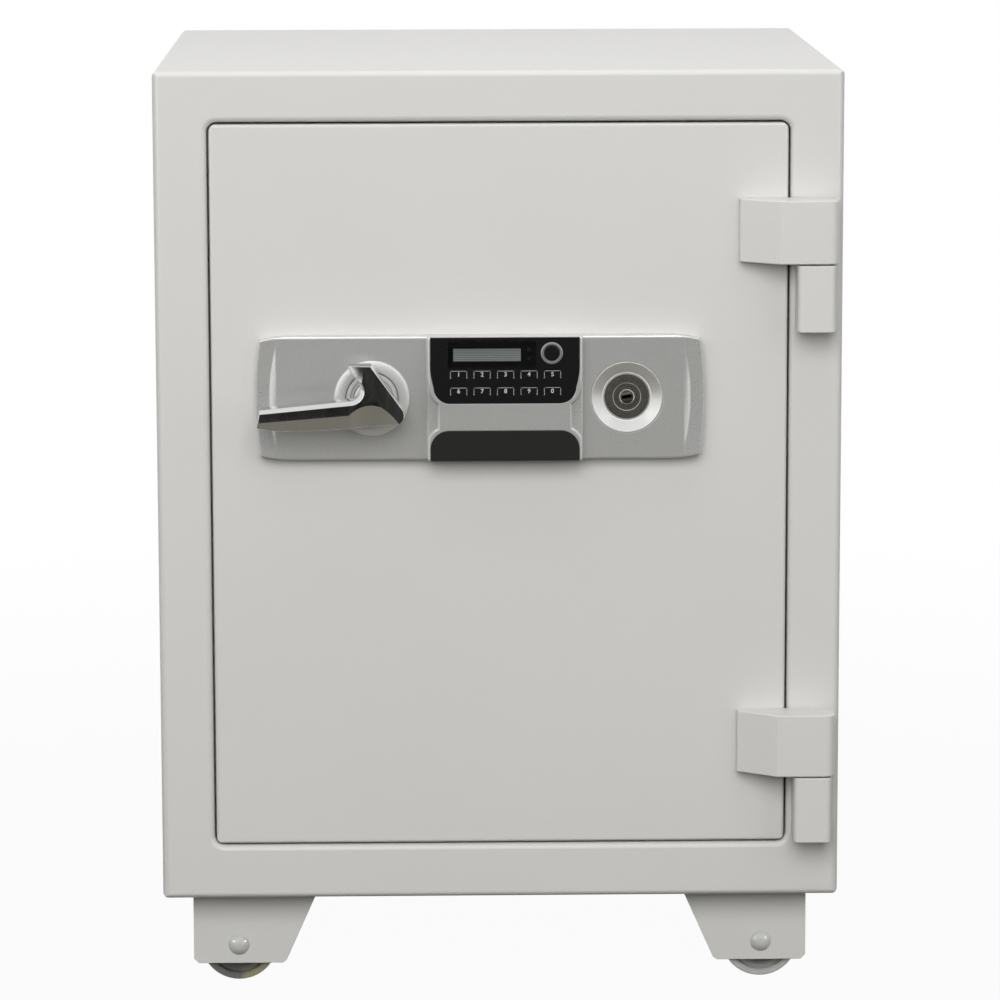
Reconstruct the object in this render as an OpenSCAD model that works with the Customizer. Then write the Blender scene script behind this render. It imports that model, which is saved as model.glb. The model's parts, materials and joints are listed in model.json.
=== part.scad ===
// Fireproof safe on four rollers, with a flush door, lever handle, keypad and key lock.
// Millimetres. x runs to the right, y to the back, z up. The door faces -y.
// The origin lies on the floor, under the middle of the safe.
// Depths are counted from the front face of the body: positive inwards, negative outwards.

/* [Body] */
// Width of the body over its sides
body_w = 490; // [486:1:500]
// Depth of the body from the front face to the back
body_d = 450; // [430:5:480]
// Height of the body without its feet
body_h = 600; // [596:1:612]
// Height of the base above the floor
foot_h = 70; // [66:1:78]
// Thickness of the outer sheet
casing_t = 2.5; // [2:0.1:3]
// Radius of the outer edges
edge_r = 5; // [4:0.5:7]
// Radius of the rolled edge round the door opening
roll_r = 4.5; // [3:0.5:5]
// Thickness of the insulated rear wall
back_wall = 58; // [50:1:66]

/* [Door] */
// Width of the front plate
door_w = 411; // [406:1:414]
// Height of the front plate
door_h = 521; // [516:1:526]
// Height of the door's middle above the body's middle
door_rise = 1.5; // [0:0.5:3]
// Gap round the front plate
door_gap = 1.5; // [1.4:0.1:1.8]
// Corner radius of the front plate
door_corner = 5.5; // [4:0.5:7]
// Radius of the front plate's face edges
door_edge_r = 2.5; // [1:0.5:3]
// Thickness of the front plate
slab_t = 19; // [17:0.5:21]
// Depth of the insulated door from its face to its back
door_t = 54; // [52:1:55]
// Depth from the face to the back of the boltwork cover
cover_depth = 96; // [95:1:98]
// Inset of the second step from the front plate's edge
step_in = 12; // [11:0.5:13]

/* [Hinges] */
// Distance from the door's edge to the hinge axis
pin_side = 20.5; // [20:0.1:21]
// Distance of the hinge axis in front of the face
pin_out = 15; // [14.8:0.1:16]
// Distance between the middles of the two door arms
hinge_span = 370; // [340:2:380]
// Height of a door arm
arm_h = 45; // [40:1:50]
// Height of a body knuckle
knuckle_h = 47.5; // [42:0.5:52]
// Radius of a hinge pin
pin_r = 5.5; // [5:0.1:6]

/* [Lock panel] */
// Height of the panel's middle above the door's middle
panel_rise = 66.5; // [60:0.5:72]
// Left end of the panel from the door's middle
panel_left = -173.5; // [-176:0.5:-170]
// Right end of the panel from the door's middle
panel_right = 145.5; // [143:0.5:148]
// Height of the panel
panel_h = 88.5; // [86:0.5:89]
// Height of the wings above the door
wing_p = 12; // [11.5:0.1:12.5]
// Height of the keypad block above the door
block_p = 20; // [19.8:0.1:20.4]
// Keypad's middle from the door's middle
keypad_x = 3.5; // [2:0.5:6]
// Handle axis from the door's middle
handle_x = -91; // [-92:0.5:-89]
// Key axis from the door's middle
key_x = 90.5; // [89.5:0.5:93]

/* [Handle] */
// Height of the lever's front above the door
handle_p = 50; // [48:0.5:54]
// Thickness of the lever
lever_t = 17; // [15:0.5:18]
// Radius of the spindle
spindle_r = 6; // [5:0.5:6.5]

/* [Boltwork] */
// Radius of a live bolt
bolt_r = 11; // [9:0.5:11.5]
// Radius of a dead bolt on the hinge side
dead_r = 8; // [7:0.5:8]
// Travel of the live bolts, equal to the crank's radius
throw = 20; // [20:1:20]
// Distance between neighbouring bolts
bolt_pitch = 160; // [150:2:165]
// Depth of the bolts' axes behind the face
bolt_depth = 77; // [76.5:0.1:78]

/* [Rollers] */
// Radius of a roller
wheel_r = 28; // [24:0.5:28.5]
// Width of a roller's rim
wheel_w = 28; // [24:1:29]
// Radius of an axle
axle_r = 5; // [4:0.5:6]

/* [Hidden] */
$fn = 64;
eps = 1;

// Front face, with the lever's front and the back panel at equal distances from the origin
front_y = -(body_d - handle_p) / 2;
body_z = foot_h + body_h / 2;
door_z = body_z + door_rise;
inner_r = edge_r - casing_t / 2;

// Opening, steps and cavity of the body
opening_w = door_w + 2 * door_gap;
opening_h = door_h + 2 * door_gap;
opening_corner = door_corner + door_gap;
ledge_d = slab_t + door_gap;
step_gap = 5;
jamb_w = door_w - 2 * step_in + 2 * step_gap;
jamb_h = door_h - 2 * step_in + 2 * step_gap;
jamb_t = 2;
jamb_d = door_t + 4;
cavity_in = 16;
cavity_w = jamb_w - 2 * cavity_in;
cavity_h = jamb_h - 2 * cavity_in;
liner_t = 1.5;
liner_d = jamb_d + jamb_t;
liner_back = body_d - back_wall;
liner_corner = 4;
back_t = 2;
back_gap = 0.3;

// Shelf and its rails
shelf_z = door_z - 10;
shelf_t = 1.5;
shelf_gap = 1;
shelf_lip = 20;
shelf_front = cover_depth + 14;
shelf_rear = liner_back - liner_t - 6;
rail_leg = 16;
rail_end = shelf_t + 3;

// Door sheets
skin_t = 2;
plug_w = door_w - 2 * step_in;
plug_h = door_h - 2 * step_in;
plug_corner = 3;
pan_flange_d = slab_t - skin_t;
cover_w = cavity_w - 22;
cover_h = cavity_h - 22;
cover_t = 1.5;
cover_corner = 4;
seal_in = 2.5;
seal_w = 5;
seal_t = 3.3;
post_x = cover_w / 2 - 16;
post_z = cover_h / 2 - 14;
post_places = [for (x = [-post_x, 0, post_x], z = [-post_z, post_z]) [x, z]];
post_r = 6;
screw_r = 2.4;
screw_len = 14;
screw_play = 0.1;

// Hinges
pin_x = door_w / 2 + pin_side;
pin_y = front_y - pin_out;
arm_reach = pin_out - 1;
arm_left = 35;
arm_thin = 9;
arm_ramp = 28;
arm_corner = 7;
knuckle_half = 13.5;
knuckle_shift = 1.8;
knuckle_corner = 4;
arm_gap = 1;
pin_tip = 1.5;
pin_in_arm = 30;
pin_fit = 0.05;
arm_levels = [door_z - hinge_span / 2, door_z + hinge_span / 2];

// Bolts and their pockets
cup_depth = 14.5;
cup_r = bolt_r + 2;
cup_t = 1.5;
bolt_tip_rest = 1.5;
dead_reach = 21;
slot_front = bolt_depth - dead_r - 6;
slot_back = bolt_depth + dead_r + 2;
slot_h = 2 * dead_r + 4;
bolt_rows = [-bolt_pitch, 0, bolt_pitch];
carriage_d = 62.5;
carriage_t = 3;
flange_x = -135;
flange_half = bolt_pitch + 18;
flange_back = bolt_depth + 13;
upright_w = 70;
stub_r = 5;
nut_r = 8.5;
nut_t = 6;
stud_r = 5;
stud_head_r = stud_r + 3;
stud_head_t = 2.6;
stud_gap = 0.4;
stud_x = -103;
stud_places = [[stud_x, 130], [stud_x, -130], [44, panel_rise - 12]];
arm_low = panel_rise - 20;
arm_high = panel_rise + 20;
bolt_play = 0.35;
dead_play = 0.2;
stub_play = 0.1;

// Lock solenoid above the carriage's arm
sol_x = 20;
sol_low = arm_high + 7;
sol_h = 36;
sol_w = 26;
sol_t = 20;
sol_ear = 8;
sol_mid_d = carriage_d + carriage_t / 2;
plunger_r = 3;
plunger_play = 0.1;
plunger_rest = 0.8;
plunger_stroke = 5;
notch_play = 0.6;
notch_depth = plunger_stroke + 1;

// Lock panel parts; rows and offsets are measured from the panel's middle
panel_z = door_z + panel_rise;
block_w = 110;
black_w = 105.8;
wall = 3;
facet_slope = 18;
scoop_depth = 1.8;
scoop_r = (pow(panel_h / 2 - 4, 2) + scoop_depth * scoop_depth) / (2 * scoop_depth);
part_gap = 0.15;

// Keypad, its display and its keys
keypad_low = -3;
keypad_high = panel_h / 2;
plate_p = block_p + 0.5;
plate_t = 3.5;
key_w = 12.4;
key_tall = 5.9;
key_pitch_x = 16.65;
key_pitch_z = 12;
key_first_x = keypad_x + 0.4 - 2 * key_pitch_x;
key_low_z = keypad_low + 8.9;
key_p = block_p + 1.2;
key_back_p = block_p - 3.9;
key_gap = 0.3;
key_corner = 0.8;
key_places = [for (row = [1, 0], column = [0:4])
  [key_first_x + column * key_pitch_x, key_low_z + row * key_pitch_z]];
lens_w = 62.9;
lens_h = 19.4;
lens_x = keypad_x - 9.3;
lens_z = keypad_low + 35.4;
lcd_w = 47.8;
lcd_h = 9;
lcd_x = keypad_x - 12.7;
lcd_z = keypad_low + 34.8;
lens_t = 0.6;
led_x = keypad_x + 16.9;
led_r = 1.2;
led_rise = 3.2;
insert_play = 0.1;
insert_back_p = plate_p - 4.5;
start_x = keypad_x + 33.2;
start_z = keypad_low + 36;
start_r = 5.4;
ring_r = 7.8;
mat_p = 13.8;
mat_t = 2.2;
dome_r = 2.6;
dome_h = 1;
board_p = 11;
board_t = 1.6;
board_back_p = board_p - board_t;

// Battery bay, tray and cells
bay_low = -panel_h / 2;
tray_high = bay_low + 21.5;
tray_h = 34;
divider_z = bay_low + tray_h + 1;
tray_wall = 1;
tray_back_p = 1.2;
tray_side_p = 16.8;
tray_half = black_w / 2 - 2 * part_gap;
cell_r = 7.1;
cell_len = 50.2;
cell_tip = 1;
cell_tip_r = 2.7;
cell_gap = 0.3;
cell_p = tray_back_p + tray_wall + cell_r + part_gap;
cell_rows = [bay_low + 2.4 + cell_r, bay_low + 2.8 + 3 * cell_r];

// Handle, spindle and crank
rose_r = 27;
rose_p = wing_p + 3;
neck_r = 9;
spindle_fit = 0.05;
hub_top = 28;
hub_side_r = 7;
hub_corner = [16.2, -7.3];
fin_top = [-16.8, hub_top];
fin_low = [-8.2, 14];
arm_end = [-15.2, 3.2];
arm_tip_x = -79;
throat_r = 7;
throat_rim = 2.85;
arm_band = [arm_tip_x, -5.7];
arm_rise = 5.4;
band_tilt = 42;
arm_foot = [arm_tip_x, -12.4];
foot_rise = 4.6;
foot_tilt = 50;
foot_len = 63;
cheek_top = [-0.4, -0.2];
cheek_tilt = 30;
cheek_bend = 18;
flank_top = [-3, hub_top];
flank_fall = 76;
flank_low = [3, 5.5];
flank_low_fall = 61;
flank_tilt = 12;
flank_len = 60;
fin_side = [-7, fin_low[1]];
fin_side_fall = 97;
fin_rim_fall = 67;
fin_rim_tilt = 45;
fin_len = 20;
facet_w = 20;
lever_back_p = handle_p - lever_t;
crank_r = 26;
crank_t = 3;
crank_pin_r = 4;
crank_d = 58;
crank_start = 60;
yoke_gap = 0.35;

// Key lock and the cable beside it
bezel_r = 25.5;
bezel_seat = 5;
face_r = 15.5;
barrel_r = 11;
plug_r = 5.4;
plug_fit = 0.06;
cam_half = 12.5;
cam_w = 11;
cam_pocket_r = 13.5;
cable_r = 1.6;
cable_x = 20;
hole_play = 1;

// Rollers and their brackets
bracket_in = 20.5;
bracket_front = 29;
bracket_depth = 40;
bracket_t = 3;
bracket_top_w = 88;
bracket_low_w = 70;
bracket_low_z = 14;
bracket_cut = 3.5;
axle_in = 33;
head_r = 7.8;
head_h = 4;
head_bite = 0.5;
side_play = 0.5;
rim_edge = 1.5;
rim_t = 5;
web_in = 3;
boss_t = 5;

// Prism of a front-view outline from depth d0 to depth d1
module slab(d0, d1) {
  translate([0, front_y + d1, 0])
    rotate([90, 0, 0])
      linear_extrude(d1 - d0)
        children();
}

// Prism of a side-view outline, drawn in depth and height, from x0 to x1
module side_slab(x0, x1) {
  translate([x0, front_y, 0])
    rotate([90, 0, 90])
      linear_extrude(x1 - x0)
        children();
}

// Prism of a plan outline, drawn in x and depth, from z0 to z1
module plan_slab(z0, z1) {
  translate([0, front_y, z0])
    linear_extrude(z1 - z0)
      children();
}

// Round bar across the door from depth d0 to depth d1
module bar(x, z, r, d0, d1) {
  translate([x, front_y + d1, z])
    rotate([90, 0, 0])
      cylinder(r = r, h = d1 - d0);
}

// Solid of revolution about an axis through the door; the profile is drawn in radius and depth
module turned(x, z) {
  translate([x, front_y, z])
    rotate([-90, 0, 0])
      rotate_extrude()
        children();
}

// Rectangle with round corners
module round_rect(w, h, r) {
  square([w - 2 * r, h], center = true);
  square([w, h - 2 * r], center = true);
  for (sx = [-1, 1], sz = [-1, 1])
    translate([sx * (w / 2 - r), sz * (h / 2 - r)])
      circle(r);
}

// Rectangle from depth 0 to depth d with its two front corners round
module front_round(d, h, r) {
  translate([r, -h / 2])
    square([d - r, h]);
  translate([0, r - h / 2])
    square([d, h - 2 * r]);
  for (s = [-1, 1])
    translate([r, s * (h / 2 - r)])
      circle(r);
}

// Block with round corners in the front view and round edges on its face
module faced_block(w, h, d, corner, edge, z) {
  intersection() {
    slab(0, d)
      translate([0, z])
        round_rect(w, h, corner);
    side_slab(-w, w)
      translate([0, z])
        front_round(d, h, edge);
    plan_slab(z - h, z + h)
      rotate(90)
        mirror([0, 1])
          front_round(d, w, edge);
  }
}

// Section of the metal that the rolled edge leaves away, in distance from the opening and depth
module roll_section() {
  difference() {
    translate([-eps, -eps])
      square(roll_r + eps);
    translate([roll_r, roll_r])
      circle(roll_r);
  }
}

// Cut that rolls the edge of the door opening
module rolled_edge_cut() {
  run_w = opening_w / 2 - opening_corner;
  run_h = opening_h / 2 - opening_corner;
  for (s = [0, 1])
    mirror([s, 0, 0])
      plan_slab(door_z - run_h, door_z + run_h)
        translate([opening_w / 2, 0])
          roll_section();
  translate([0, 0, door_z])
    for (s = [0, 1])
      mirror([0, 0, s])
        side_slab(-run_w, run_w)
          translate([0, opening_h / 2])
            rotate(90)
              mirror([0, 1])
                roll_section();
  for (sx = [0, 1], sz = [0, 1])
    translate([0, 0, door_z])
      mirror([sx, 0, 0])
        mirror([0, 0, sz])
          translate([run_w, front_y, run_h])
            rotate([-90, 0, 0])
              rotate([0, 0, -90])
                rotate_extrude(angle = 90)
                  translate([opening_corner, 0])
                    roll_section();
}

// Outer sheet: the four sides in one wrap, the front frame and its return into the opening
module outer_casing() {
  color([0.83, 0.83, 0.81])
    difference() {
      union() {
        difference() {
          faced_block(body_w, body_h, body_d, edge_r, edge_r, body_z);
          slab(casing_t, body_d + eps)
            translate([0, body_z])
              round_rect(body_w - 2 * casing_t, body_h - 2 * casing_t, inner_r);
        }
        slab(casing_t / 2, ledge_d)
          translate([0, door_z])
            round_rect(opening_w + 2 * casing_t, opening_h + 2 * casing_t,
              opening_corner + casing_t);
      }
      slab(-eps, ledge_d + eps)
        translate([0, door_z])
          round_rect(opening_w, opening_h, opening_corner);
      rolled_edge_cut();
    }
}

// Flat rear sheet, set into the wrap
module back_panel() {
  color([0.83, 0.83, 0.81])
    slab(body_d - back_t, body_d)
      translate([0, body_z])
        round_rect(body_w - 2 * (casing_t + back_gap), body_h - 2 * (casing_t + back_gap), inner_r);
}

// Cast insulation between the outer wrap and the liner, with pockets for the strike cups
module body_insulation() {
  color([0.72, 0.70, 0.66])
    difference() {
      slab(casing_t, body_d - back_t)
        translate([0, body_z])
          round_rect(body_w - 2 * casing_t, body_h - 2 * casing_t, inner_r);
      slab(0, ledge_d + jamb_t)
        translate([0, door_z])
          round_rect(opening_w + 2 * casing_t, opening_h + 2 * casing_t,
            opening_corner + casing_t);
      slab(0, liner_d)
        translate([0, door_z])
          square([jamb_w + 2 * jamb_t, jamb_h + 2 * jamb_t], center = true);
      slab(0, liner_back)
        translate([0, door_z])
          round_rect(cavity_w + 2 * liner_t, cavity_h + 2 * liner_t, liner_corner + liner_t);
      for (row = bolt_rows) {
        live_cup_shape(row, cup_t + back_gap, cup_t + back_gap);
        dead_cup_shape(row, cup_t + back_gap);
      }
    }
}

// Stepped frame of the opening: a ledge, a wall and a second ledge round the cavity
module door_jamb() {
  color([0.80, 0.80, 0.78])
    difference() {
      union() {
        slab(ledge_d, ledge_d + jamb_t)
          translate([0, door_z])
            round_rect(opening_w + 2 * casing_t, opening_h + 2 * casing_t,
              opening_corner + casing_t);
        slab(ledge_d, liner_d)
          translate([0, door_z])
            square([jamb_w + 2 * jamb_t, jamb_h + 2 * jamb_t], center = true);
      }
      slab(0, jamb_d)
        translate([0, door_z])
          round_rect(jamb_w, jamb_h, plug_corner);
      slab(0, liner_d + eps)
        translate([0, door_z])
          round_rect(cavity_w, cavity_h, liner_corner);
    }
}

// Solid of a round strike cup on the left wall, thickened by grow in radius and end in length
module live_cup_shape(row, grow, end) {
  translate([-cavity_w / 2 - liner_t - cup_depth - end, front_y + bolt_depth, door_z + row])
    rotate([0, 90, 0])
      cylinder(r = cup_r + grow, h = cup_depth + end);
}

// Solid of an oblong strike cup on the right wall, thickened by grow
module dead_cup_shape(row, grow) {
  translate([cavity_w / 2 + liner_t, front_y + slot_front - grow, door_z + row - slot_h / 2 - grow])
    cube([cup_depth + grow, slot_back - slot_front + 2 * grow, slot_h + 2 * grow]);
}

// Inner sheet box, open to the front, with holes for the bolts
module inner_liner() {
  color([0.86, 0.86, 0.84])
    difference() {
      slab(liner_d, liner_back)
        translate([0, door_z])
          round_rect(cavity_w + 2 * liner_t, cavity_h + 2 * liner_t, liner_corner + liner_t);
      slab(liner_d - eps, liner_back - liner_t)
        translate([0, door_z])
          round_rect(cavity_w, cavity_h, liner_corner);
      for (row = bolt_rows) {
        translate([-cavity_w / 2 - 2 * liner_t, front_y + bolt_depth, door_z + row])
          rotate([0, 90, 0])
            cylinder(r = cup_r, h = 4 * liner_t);
        translate([cavity_w / 2 - liner_t, front_y + slot_front, door_z + row - slot_h / 2])
          cube([3 * liner_t, slot_back - slot_front, slot_h]);
      }
    }
}

// Steel cups behind the liner: round ones for the live bolts, oblong ones for the dead bolts
module strike_cups() {
  color([0.62, 0.62, 0.63])
    for (row = bolt_rows) {
      difference() {
        live_cup_shape(row, cup_t, cup_t);
        translate([-cavity_w / 2 - liner_t - cup_depth, front_y + bolt_depth, door_z + row])
          rotate([0, 90, 0])
            cylinder(r = cup_r, h = cup_depth + eps);
      }
      difference() {
        dead_cup_shape(row, cup_t);
        translate([cavity_w / 2, front_y + slot_front, door_z + row - slot_h / 2])
          cube([cup_depth + liner_t, slot_back - slot_front, slot_h]);
      }
    }
}

// Sheet shelf with folded lips at the front and the back
module shelf() {
  color([0.86, 0.86, 0.84])
    side_slab(shelf_gap - cavity_w / 2, cavity_w / 2 - shelf_gap) {
      translate([shelf_front, shelf_z - shelf_t])
        square([shelf_rear - shelf_front, shelf_t]);
      translate([shelf_front, shelf_z - shelf_lip])
        square([shelf_t, shelf_lip]);
      translate([shelf_rear - shelf_t, shelf_z - shelf_lip])
        square([shelf_t, shelf_lip]);
    }
}

// Two angle rails on the side walls that carry the shelf
module shelf_rails() {
  color([0.86, 0.86, 0.84])
    for (s = [0, 1])
      mirror([s, 0, 0])
        translate([0, front_y + shelf_front + rail_end, 0])
          rotate([90, 0, 180])
            linear_extrude(shelf_rear - shelf_front - 2 * rail_end)
              polygon([
                [-cavity_w / 2, shelf_z - shelf_t],
                [-cavity_w / 2 + rail_leg, shelf_z - shelf_t],
                [-cavity_w / 2 + rail_leg, shelf_z - 2 * shelf_t],
                [-cavity_w / 2 + shelf_t, shelf_z - 2 * shelf_t],
                [-cavity_w / 2 + shelf_t, shelf_z - shelf_t - rail_leg],
                [-cavity_w / 2, shelf_z - shelf_t - rail_leg]
              ]);
}

// Fixed hinge knuckles on the frame, one below each door arm
module hinge_knuckles() {
  color([0.83, 0.83, 0.81])
    for (level = arm_levels)
      difference() {
        translate([0, 0, level - arm_h / 2 - arm_gap - knuckle_h])
          linear_extrude(knuckle_h)
            translate([pin_x - knuckle_shift, pin_y - arm_reach]) {
              translate([-knuckle_half, knuckle_corner])
                square([2 * knuckle_half, arm_reach + pin_out - knuckle_corner]);
              translate([knuckle_corner - knuckle_half, 0])
                square([2 * (knuckle_half - knuckle_corner), 2 * knuckle_corner]);
              for (s = [-1, 1])
                translate([s * (knuckle_half - knuckle_corner), knuckle_corner])
                  circle(knuckle_corner);
            }
        translate([pin_x, pin_y, level - arm_h / 2 - knuckle_h - 2 * eps])
          cylinder(r = pin_r + pin_fit, h = knuckle_h + 4 * eps);
      }
}

// Hinge pins, standing in the knuckles and reaching into the door arms
module hinge_pins() {
  color([0.70, 0.70, 0.70])
    for (level = arm_levels)
      translate([pin_x, pin_y, level - arm_h / 2 - arm_gap - knuckle_h - pin_tip])
        cylinder(r = pin_r, h = knuckle_h + pin_tip + arm_gap + pin_in_arm);
}

// One foot bracket at the front left: two shaped cheeks, a side web and a top plate
module foot_bracket() {
  outer_x = -body_w / 2 + bracket_in;
  difference() {
    union() {
      for (d = [bracket_front, bracket_front + bracket_depth - bracket_t])
        slab(d, d + bracket_t)
          polygon([
            [outer_x, foot_h],
            [outer_x + bracket_top_w, foot_h],
            [outer_x + bracket_low_w + bracket_cut / 2, bracket_low_z + bracket_cut],
            [outer_x + bracket_low_w - bracket_cut, bracket_low_z],
            [outer_x + bracket_cut, bracket_low_z],
            [outer_x, bracket_low_z + bracket_cut]
          ]);
      slab(bracket_front, bracket_front + bracket_depth)
        translate([outer_x, bracket_low_z + bracket_cut])
          square([bracket_t, foot_h - bracket_low_z - bracket_cut]);
      slab(bracket_front, bracket_front + bracket_depth)
        translate([outer_x, foot_h - bracket_t])
          square([bracket_top_w - bracket_t, bracket_t]);
    }
    bar(outer_x + axle_in, wheel_r, axle_r + pin_fit, bracket_front - eps,
      bracket_front + bracket_depth + eps);
  }
}

// Repeats a front-left part at the four corners of the base
module four_corners() {
  mid_y = front_y + body_d / 2;
  for (sx = [0, 1], sy = [0, 1])
    translate([0, mid_y, 0])
      mirror([sx, 0, 0])
        mirror([0, sy, 0])
          translate([0, -mid_y, 0])
            children();
}

module foot_brackets() {
  color([0.83, 0.83, 0.81])
    four_corners()
      foot_bracket();
}

// Axles with a domed head on each cheek
module wheel_axles() {
  outer_x = -body_w / 2 + bracket_in;
  dome_r = (head_r * head_r + head_h * head_h) / (2 * head_h);
  color([0.83, 0.83, 0.81])
    four_corners() {
      bar(outer_x + axle_in, wheel_r, axle_r, bracket_front - head_bite,
        bracket_front + bracket_depth + head_bite);
      for (end = [0, 1])
        translate([outer_x + axle_in, front_y + bracket_front + end * bracket_depth, wheel_r])
          rotate([end == 0 ? 90 : -90, 0, 0])
            intersection() {
              translate([0, 0, head_h - dome_r])
                sphere(dome_r);
              cylinder(r = head_r, h = head_h);
            }
    }
}

// One steel roller at a corner: sx and sy are 0 at the front left
module wheel_at(sx, sy) {
  mid_y = front_y + body_d / 2;
  boss_half = bracket_depth / 2 - bracket_t - side_play;
  rim_half = wheel_w / 2;
  boss_r = axle_r + boss_t;
  rim_in = wheel_r - rim_t;
  color([0.66, 0.65, 0.60])
    translate([0, mid_y, 0])
      mirror([sx, 0, 0])
        mirror([0, sy, 0])
          translate([-body_w / 2 + bracket_in + axle_in,
            bracket_front + bracket_depth / 2 - body_d / 2, wheel_r])
            rotate([90, 0, 0])
              rotate_extrude()
                polygon([
                  [axle_r + pin_fit, -boss_half],
                  [boss_r, -boss_half],
                  [boss_r, web_in - rim_half],
                  [rim_in - 1, web_in - rim_half],
                  [rim_in, -rim_half],
                  [wheel_r - rim_edge, -rim_half],
                  [wheel_r, rim_edge - rim_half],
                  [wheel_r, rim_half - rim_edge],
                  [wheel_r - rim_edge, rim_half],
                  [rim_in, rim_half],
                  [rim_in - 1, rim_half - web_in],
                  [boss_r, rim_half - web_in],
                  [boss_r, boss_half],
                  [axle_r + pin_fit, boss_half]
                ]);
}

module wheel_front_left() { wheel_at(0, 0); }
module wheel_front_right() { wheel_at(1, 0); }
module wheel_rear_left() { wheel_at(0, 1); }
module wheel_rear_right() { wheel_at(1, 1); }

// Through holes of the door for the spindle, the key cylinder and the cable
module door_holes(d0, d1, grow) {
  bar(handle_x, panel_z, spindle_r + hole_play + grow, d0, d1);
  bar(key_x, panel_z, barrel_r + hole_play / 2 + grow, d0, d1);
  bar(cable_x, panel_z, cable_r + hole_play + grow, d0, d1);
}

// Pressed front sheet of the door, open at the back
module door_skin() {
  color([0.83, 0.83, 0.81])
    difference() {
      faced_block(door_w, door_h, slab_t, door_corner, door_edge_r, door_z);
      slab(skin_t, slab_t + eps)
        translate([0, door_z])
          round_rect(door_w - 2 * skin_t, door_h - 2 * skin_t, door_corner - skin_t);
      door_holes(-eps, slab_t, 0);
    }
}

// Cast insulation of the door in two steps
module door_insulation() {
  color([0.72, 0.70, 0.66])
    difference() {
      union() {
        slab(skin_t, pan_flange_d)
          translate([0, door_z])
            round_rect(door_w - 2 * skin_t, door_h - 2 * skin_t, door_corner - skin_t);
        slab(skin_t, door_t - skin_t)
          translate([0, door_z])
            square([plug_w - 2 * skin_t, plug_h - 2 * skin_t], center = true);
      }
      door_holes(0, door_t, 1);
    }
}

// Inner sheet of the door: a flange behind the front plate and a stepped pan
module door_inner_pan() {
  color([0.80, 0.80, 0.78])
    difference() {
      union() {
        slab(pan_flange_d, slab_t)
          translate([0, door_z])
            round_rect(door_w - 2 * skin_t, door_h - 2 * skin_t, door_corner - skin_t);
        slab(pan_flange_d, door_t)
          translate([0, door_z])
            round_rect(plug_w, plug_h, plug_corner);
      }
      slab(0, door_t - skin_t)
        translate([0, door_z])
          square([plug_w - 2 * skin_t, plug_h - 2 * skin_t], center = true);
      door_holes(0, door_t + eps, 0);
    }
}

// Heat seal strip round the back of the door, facing the second ledge
module door_seal() {
  color([0.25, 0.25, 0.25])
    slab(door_t, door_t + seal_t)
      translate([0, door_z])
        difference() {
          round_rect(plug_w - 2 * seal_in, plug_h - 2 * seal_in, plug_corner);
          square([plug_w - 2 * (seal_in + seal_w), plug_h - 2 * (seal_in + seal_w)], center = true);
        }
}

// Strap arms on the door face, with a blind bore from below for the pin
module hinge_arms() {
  left_x = door_w / 2 - arm_left;
  rib_in = 2;
  color([0.83, 0.83, 0.81])
    for (level = arm_levels)
      difference() {
        translate([0, 0, level - arm_h / 2])
          linear_extrude(arm_h)
            union() {
              polygon([
                [left_x, front_y],
                [left_x, front_y - arm_thin],
                [left_x + arm_ramp, pin_y - arm_reach],
                [pin_x + arm_reach - arm_corner, pin_y - arm_reach],
                [pin_x + arm_reach, pin_y - arm_reach + arm_corner],
                [pin_x + arm_reach, pin_y],
                [pin_x, pin_y + arm_reach],
                [door_w / 2, pin_y + arm_reach],
                [door_w / 2 - rib_in, front_y]
              ]);
              translate([pin_x + arm_reach - arm_corner, pin_y - arm_reach + arm_corner])
                circle(arm_corner);
              intersection() {
                translate([pin_x, pin_y])
                  circle(arm_reach);
                translate([pin_x, pin_y])
                  square(2 * arm_reach);
              }
            }
        translate([pin_x, pin_y, level - arm_h / 2 - eps])
          cylinder(r = pin_r + pin_fit, h = pin_in_arm + 1.5 * eps);
      }
}

// Sheet cover over the boltwork, open towards the door
module boltwork_cover() {
  color([0.80, 0.80, 0.78])
    difference() {
      slab(door_t, cover_depth)
        translate([0, door_z])
          round_rect(cover_w, cover_h, cover_corner);
      slab(door_t - eps, cover_depth - cover_t)
        translate([0, door_z])
          round_rect(cover_w - 2 * cover_t, cover_h - 2 * cover_t, cover_corner - cover_t);
      for (row = bolt_rows) {
        translate([-cover_w / 2 - eps, front_y + bolt_depth, door_z + row])
          rotate([0, 90, 0])
            cylinder(r = bolt_r + bolt_play, h = cover_t + 2 * eps);
        translate([cover_w / 2 - cover_t - eps, front_y + bolt_depth, door_z + row])
          rotate([0, 90, 0])
            cylinder(r = dead_r + dead_play, h = cover_t + 2 * eps);
      }
      for (place = post_places)
        bar(place[0], door_z + place[1], screw_r + screw_play, cover_depth - 2 * cover_t,
          cover_depth + eps);
    }
}

// Posts that stand on the pan and carry the cover
module cover_posts() {
  color([0.70, 0.70, 0.70])
    for (place = post_places)
      difference() {
        bar(place[0], door_z + place[1], post_r, door_t, cover_depth - cover_t);
        bar(place[0], door_z + place[1], screw_r + screw_play, cover_depth - screw_len - 2 * eps,
          cover_depth);
      }
}

// Pan-head screws with a slot, one into each post
module cover_screws() {
  pan_h = 2.6;
  slot_w = 1.2;
  color([0.70, 0.70, 0.70])
    for (place = post_places)
      difference() {
        union() {
          bar(place[0], door_z + place[1], screw_r, cover_depth - screw_len, cover_depth + pan_h / 2);
          bar(place[0], door_z + place[1], 2 * screw_r, cover_depth, cover_depth + pan_h);
        }
        translate([place[0] - 3 * screw_r, front_y + cover_depth + pan_h - slot_w,
          door_z + place[1] - slot_w / 2])
          cube([6 * screw_r, 2 * slot_w, slot_w]);
      }
}

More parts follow.
